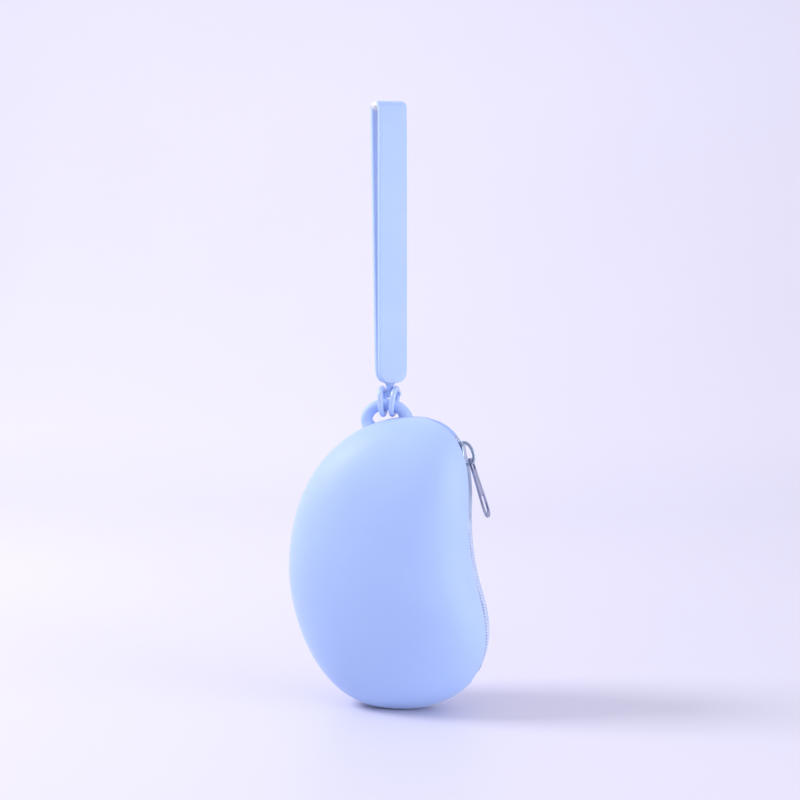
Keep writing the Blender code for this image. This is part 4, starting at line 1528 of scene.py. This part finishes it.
# %% Lay the sweep
SWEEP_BACK = 0.9
SWEEP_CURVE = 0.7
CURVE_STEPS = 12
SWEEP_WIDE = 12.0
SWEEP_LONG = 8.0
SWEEP_TALL = 3.0
floor_z = STANDING.z
sweep = fresh(bpy.ops.mesh.primitive_plane_add, "sweep", size=1)
edit_all(sweep)
bpy.ops.transform.resize(value=(SWEEP_WIDE, SWEEP_LONG, 1))
bpy.ops.transform.translate(value=(0, SWEEP_BACK - SWEEP_LONG / 2, floor_z))
done()
choose(sweep, lambda co: co.y > SWEEP_BACK - 0.01, "EDGE")
turns = [math.pi / 2 * step / CURVE_STEPS for step in range(CURVE_STEPS + 1)]
for before, after in zip(turns, turns[1:]):
    run = SWEEP_CURVE * (math.sin(after) - math.sin(before))
    rise = SWEEP_CURVE * (math.cos(before) - math.cos(after))
    bpy.ops.mesh.extrude_edges_move(TRANSFORM_OT_translate={"value": (0, run, rise)})
bpy.ops.mesh.extrude_edges_move(TRANSFORM_OT_translate={"value": (0, 0, SWEEP_TALL)})
done()
edit_all(sweep)
bpy.ops.mesh.normals_make_consistent(inside=False)
done()
bpy.ops.object.shade_smooth()
sweep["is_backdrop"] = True
print("the sweep lies at", round(floor_z, 4))

# %% [markdown]
# ## The sweep's paper
#
# The sheet is pale and slightly glossy, which gives the soft blue reflection under the pouch. Its far part
# glows a little, more on the left, as if a lamp were washing it from there. So does its near end, which only
# other views show.

# %% Give the sweep its paper
WALL_GLOW = 0.31
GLOW_COLOUR = (0.88, 0.86, 1.0, 1)
WASH_BACK = (0.1, 1.2)
WASH_ACROSS = (-1.05, 1.15)
WASH_FRONT = (-3.0, -0.8)
sheet = Recipe("sweep_sheet", ior=1.45, emission_strength=WALL_GLOW)
across, back, _ = sheet.split()
wash = sheet.spread(back, *WASH_BACK, 0, 1) * sheet.spread(across, *WASH_ACROSS, 1, 0.1)
wash = wash + sheet.spread(back, *WASH_FRONT, 0.8, 0)
paint(
    sheet.feed(
        base_color=sheet.tint(sheet.noise(3), shade(227, 225, 237), shade(223, 221, 234)),
        roughness=0.36 + 0.06 * sheet.noise(40, 3, 0.5),
        emission_color=sheet.tint(wash, (0, 0, 0, 1), GLOW_COLOUR),
    ),
    sweep,
)
print("the sheet glows with a strength of", WALL_GLOW)

# %% [markdown]
# ## Light
#
# The light is bright and soft. The key stands exactly to the left of the picture, so that the long pale
# shadow runs level to the right. A large lamp on the right fills the other side.

# %% Set the two lamps
CAMERA_TURN = 12
LAMP_AIM = 0.09


def lamp(name, azimuth, elevation, distance, size, power, colour):
    """A square soft lamp that looks at the upper part of the pouch."""
    target = Vector((0, 0, floor_z + LAMP_AIM))
    side, up = math.radians(azimuth), math.radians(elevation)
    way = Vector((math.sin(side) * math.cos(up), -math.cos(side) * math.cos(up), math.sin(up)))
    made = fresh(bpy.ops.object.light_add, name, type="AREA", location=target + way * distance)
    made.rotation_euler = way.to_track_quat("Z", "Y").to_euler()
    made.data.shape = "SQUARE"
    made.data.size = size
    made.data.energy = power
    made.data.color = colour


lamp("key", CAMERA_TURN - 90, 40, distance=1.1, size=0.35, power=7.8, colour=(1.0, 0.98, 1.0))
lamp("fill", CAMERA_TURN + 62, 4, distance=1.4, size=0.85, power=10.8, colour=(0.98, 0.98, 1.0))
print("the key stands", CAMERA_TURN - 90, "degrees round from the front")

# %% [markdown]
# ## Card and sky
#
# A lilac sky lights the rest. A dark card behind the camera keeps the front calm and draws dark lines along
# the metal's edges, as a photographer's black flag does.

# %% Set the card and the sky
CARD_SIZE = 0.65
CARD_TURN = -22
CARD_FAR = 0.9
CARD_UP = 0.2
SKY = (0.9, 0.89, 1.0, 1.0)
SKY_STRENGTH = 0.8
card_way = Vector((math.sin(math.radians(CARD_TURN)), -math.cos(math.radians(CARD_TURN)), 0))
card_place = card_way * CARD_FAR + Vector((0, 0, floor_z + CARD_UP))
card = fresh(bpy.ops.mesh.primitive_plane_add, "dark_card", size=CARD_SIZE, location=card_place)
card.rotation_euler = card_way.to_track_quat("Z", "Y").to_euler()
fixed(card)
card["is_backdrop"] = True
cloth = Recipe("card_cloth", roughness=0.9)
paint(cloth.feed(base_color=cloth.tint(cloth.noise(30), shade(60, 62, 80), shade(50, 52, 70))), card)

sky = bpy.data.worlds.new("studio_sky")
bpy.context.scene.world = sky
sky.use_nodes = True
backdrop = sky.node_tree.nodes["Background"]
backdrop.inputs["Color"].default_value = SKY
backdrop.inputs["Strength"].default_value = SKY_STRENGTH
bpy.context.scene.view_settings.view_transform = "Standard"
print("the card stands at", [round(value, 3) for value in card_place])

# %% [markdown]
# ## Camera
#
# The photograph looks level at the strap's lower end, from a little to the right of the pouch's front, so
# that a sliver of the zip shows. The camera's distance follows from how strongly the sizes shrink with
# depth there.

# %% Place the camera
CAMERA_FAR = 0.42
FRAME_PIXELS = 800
FOCAL_PIXELS = 1076.92
SENSOR = 36.0
AIM_UP = 119
AIM_SIDE = 5.07
side_way = Vector((math.cos(math.radians(CAMERA_TURN)), math.sin(math.radians(CAMERA_TURN)), 0))
back_way = Vector((math.sin(math.radians(CAMERA_TURN)), -math.cos(math.radians(CAMERA_TURN)), 0))
aim = STANDING + Vector((0, 0, AIM_UP * MM)) + side_way * (AIM_SIDE * MM)
camera = fresh(bpy.ops.object.camera_add, "camera", location=aim + back_way * CAMERA_FAR)
camera.rotation_euler = back_way.to_track_quat("Z", "Y").to_euler()
camera.data.sensor_width = SENSOR
camera.data.lens = SENSOR * FOCAL_PIXELS / FRAME_PIXELS
bpy.context.scene.camera = camera
print("the camera stands at", [round(value, 4) for value in camera.location])

# %% Note the size and finish
size = {"cad": cad_box, "visual": [list(corner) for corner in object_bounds()]}
for key, (low, high) in size.items():
    print(key, [round(b - a, 4) for a, b in zip(low, high)])
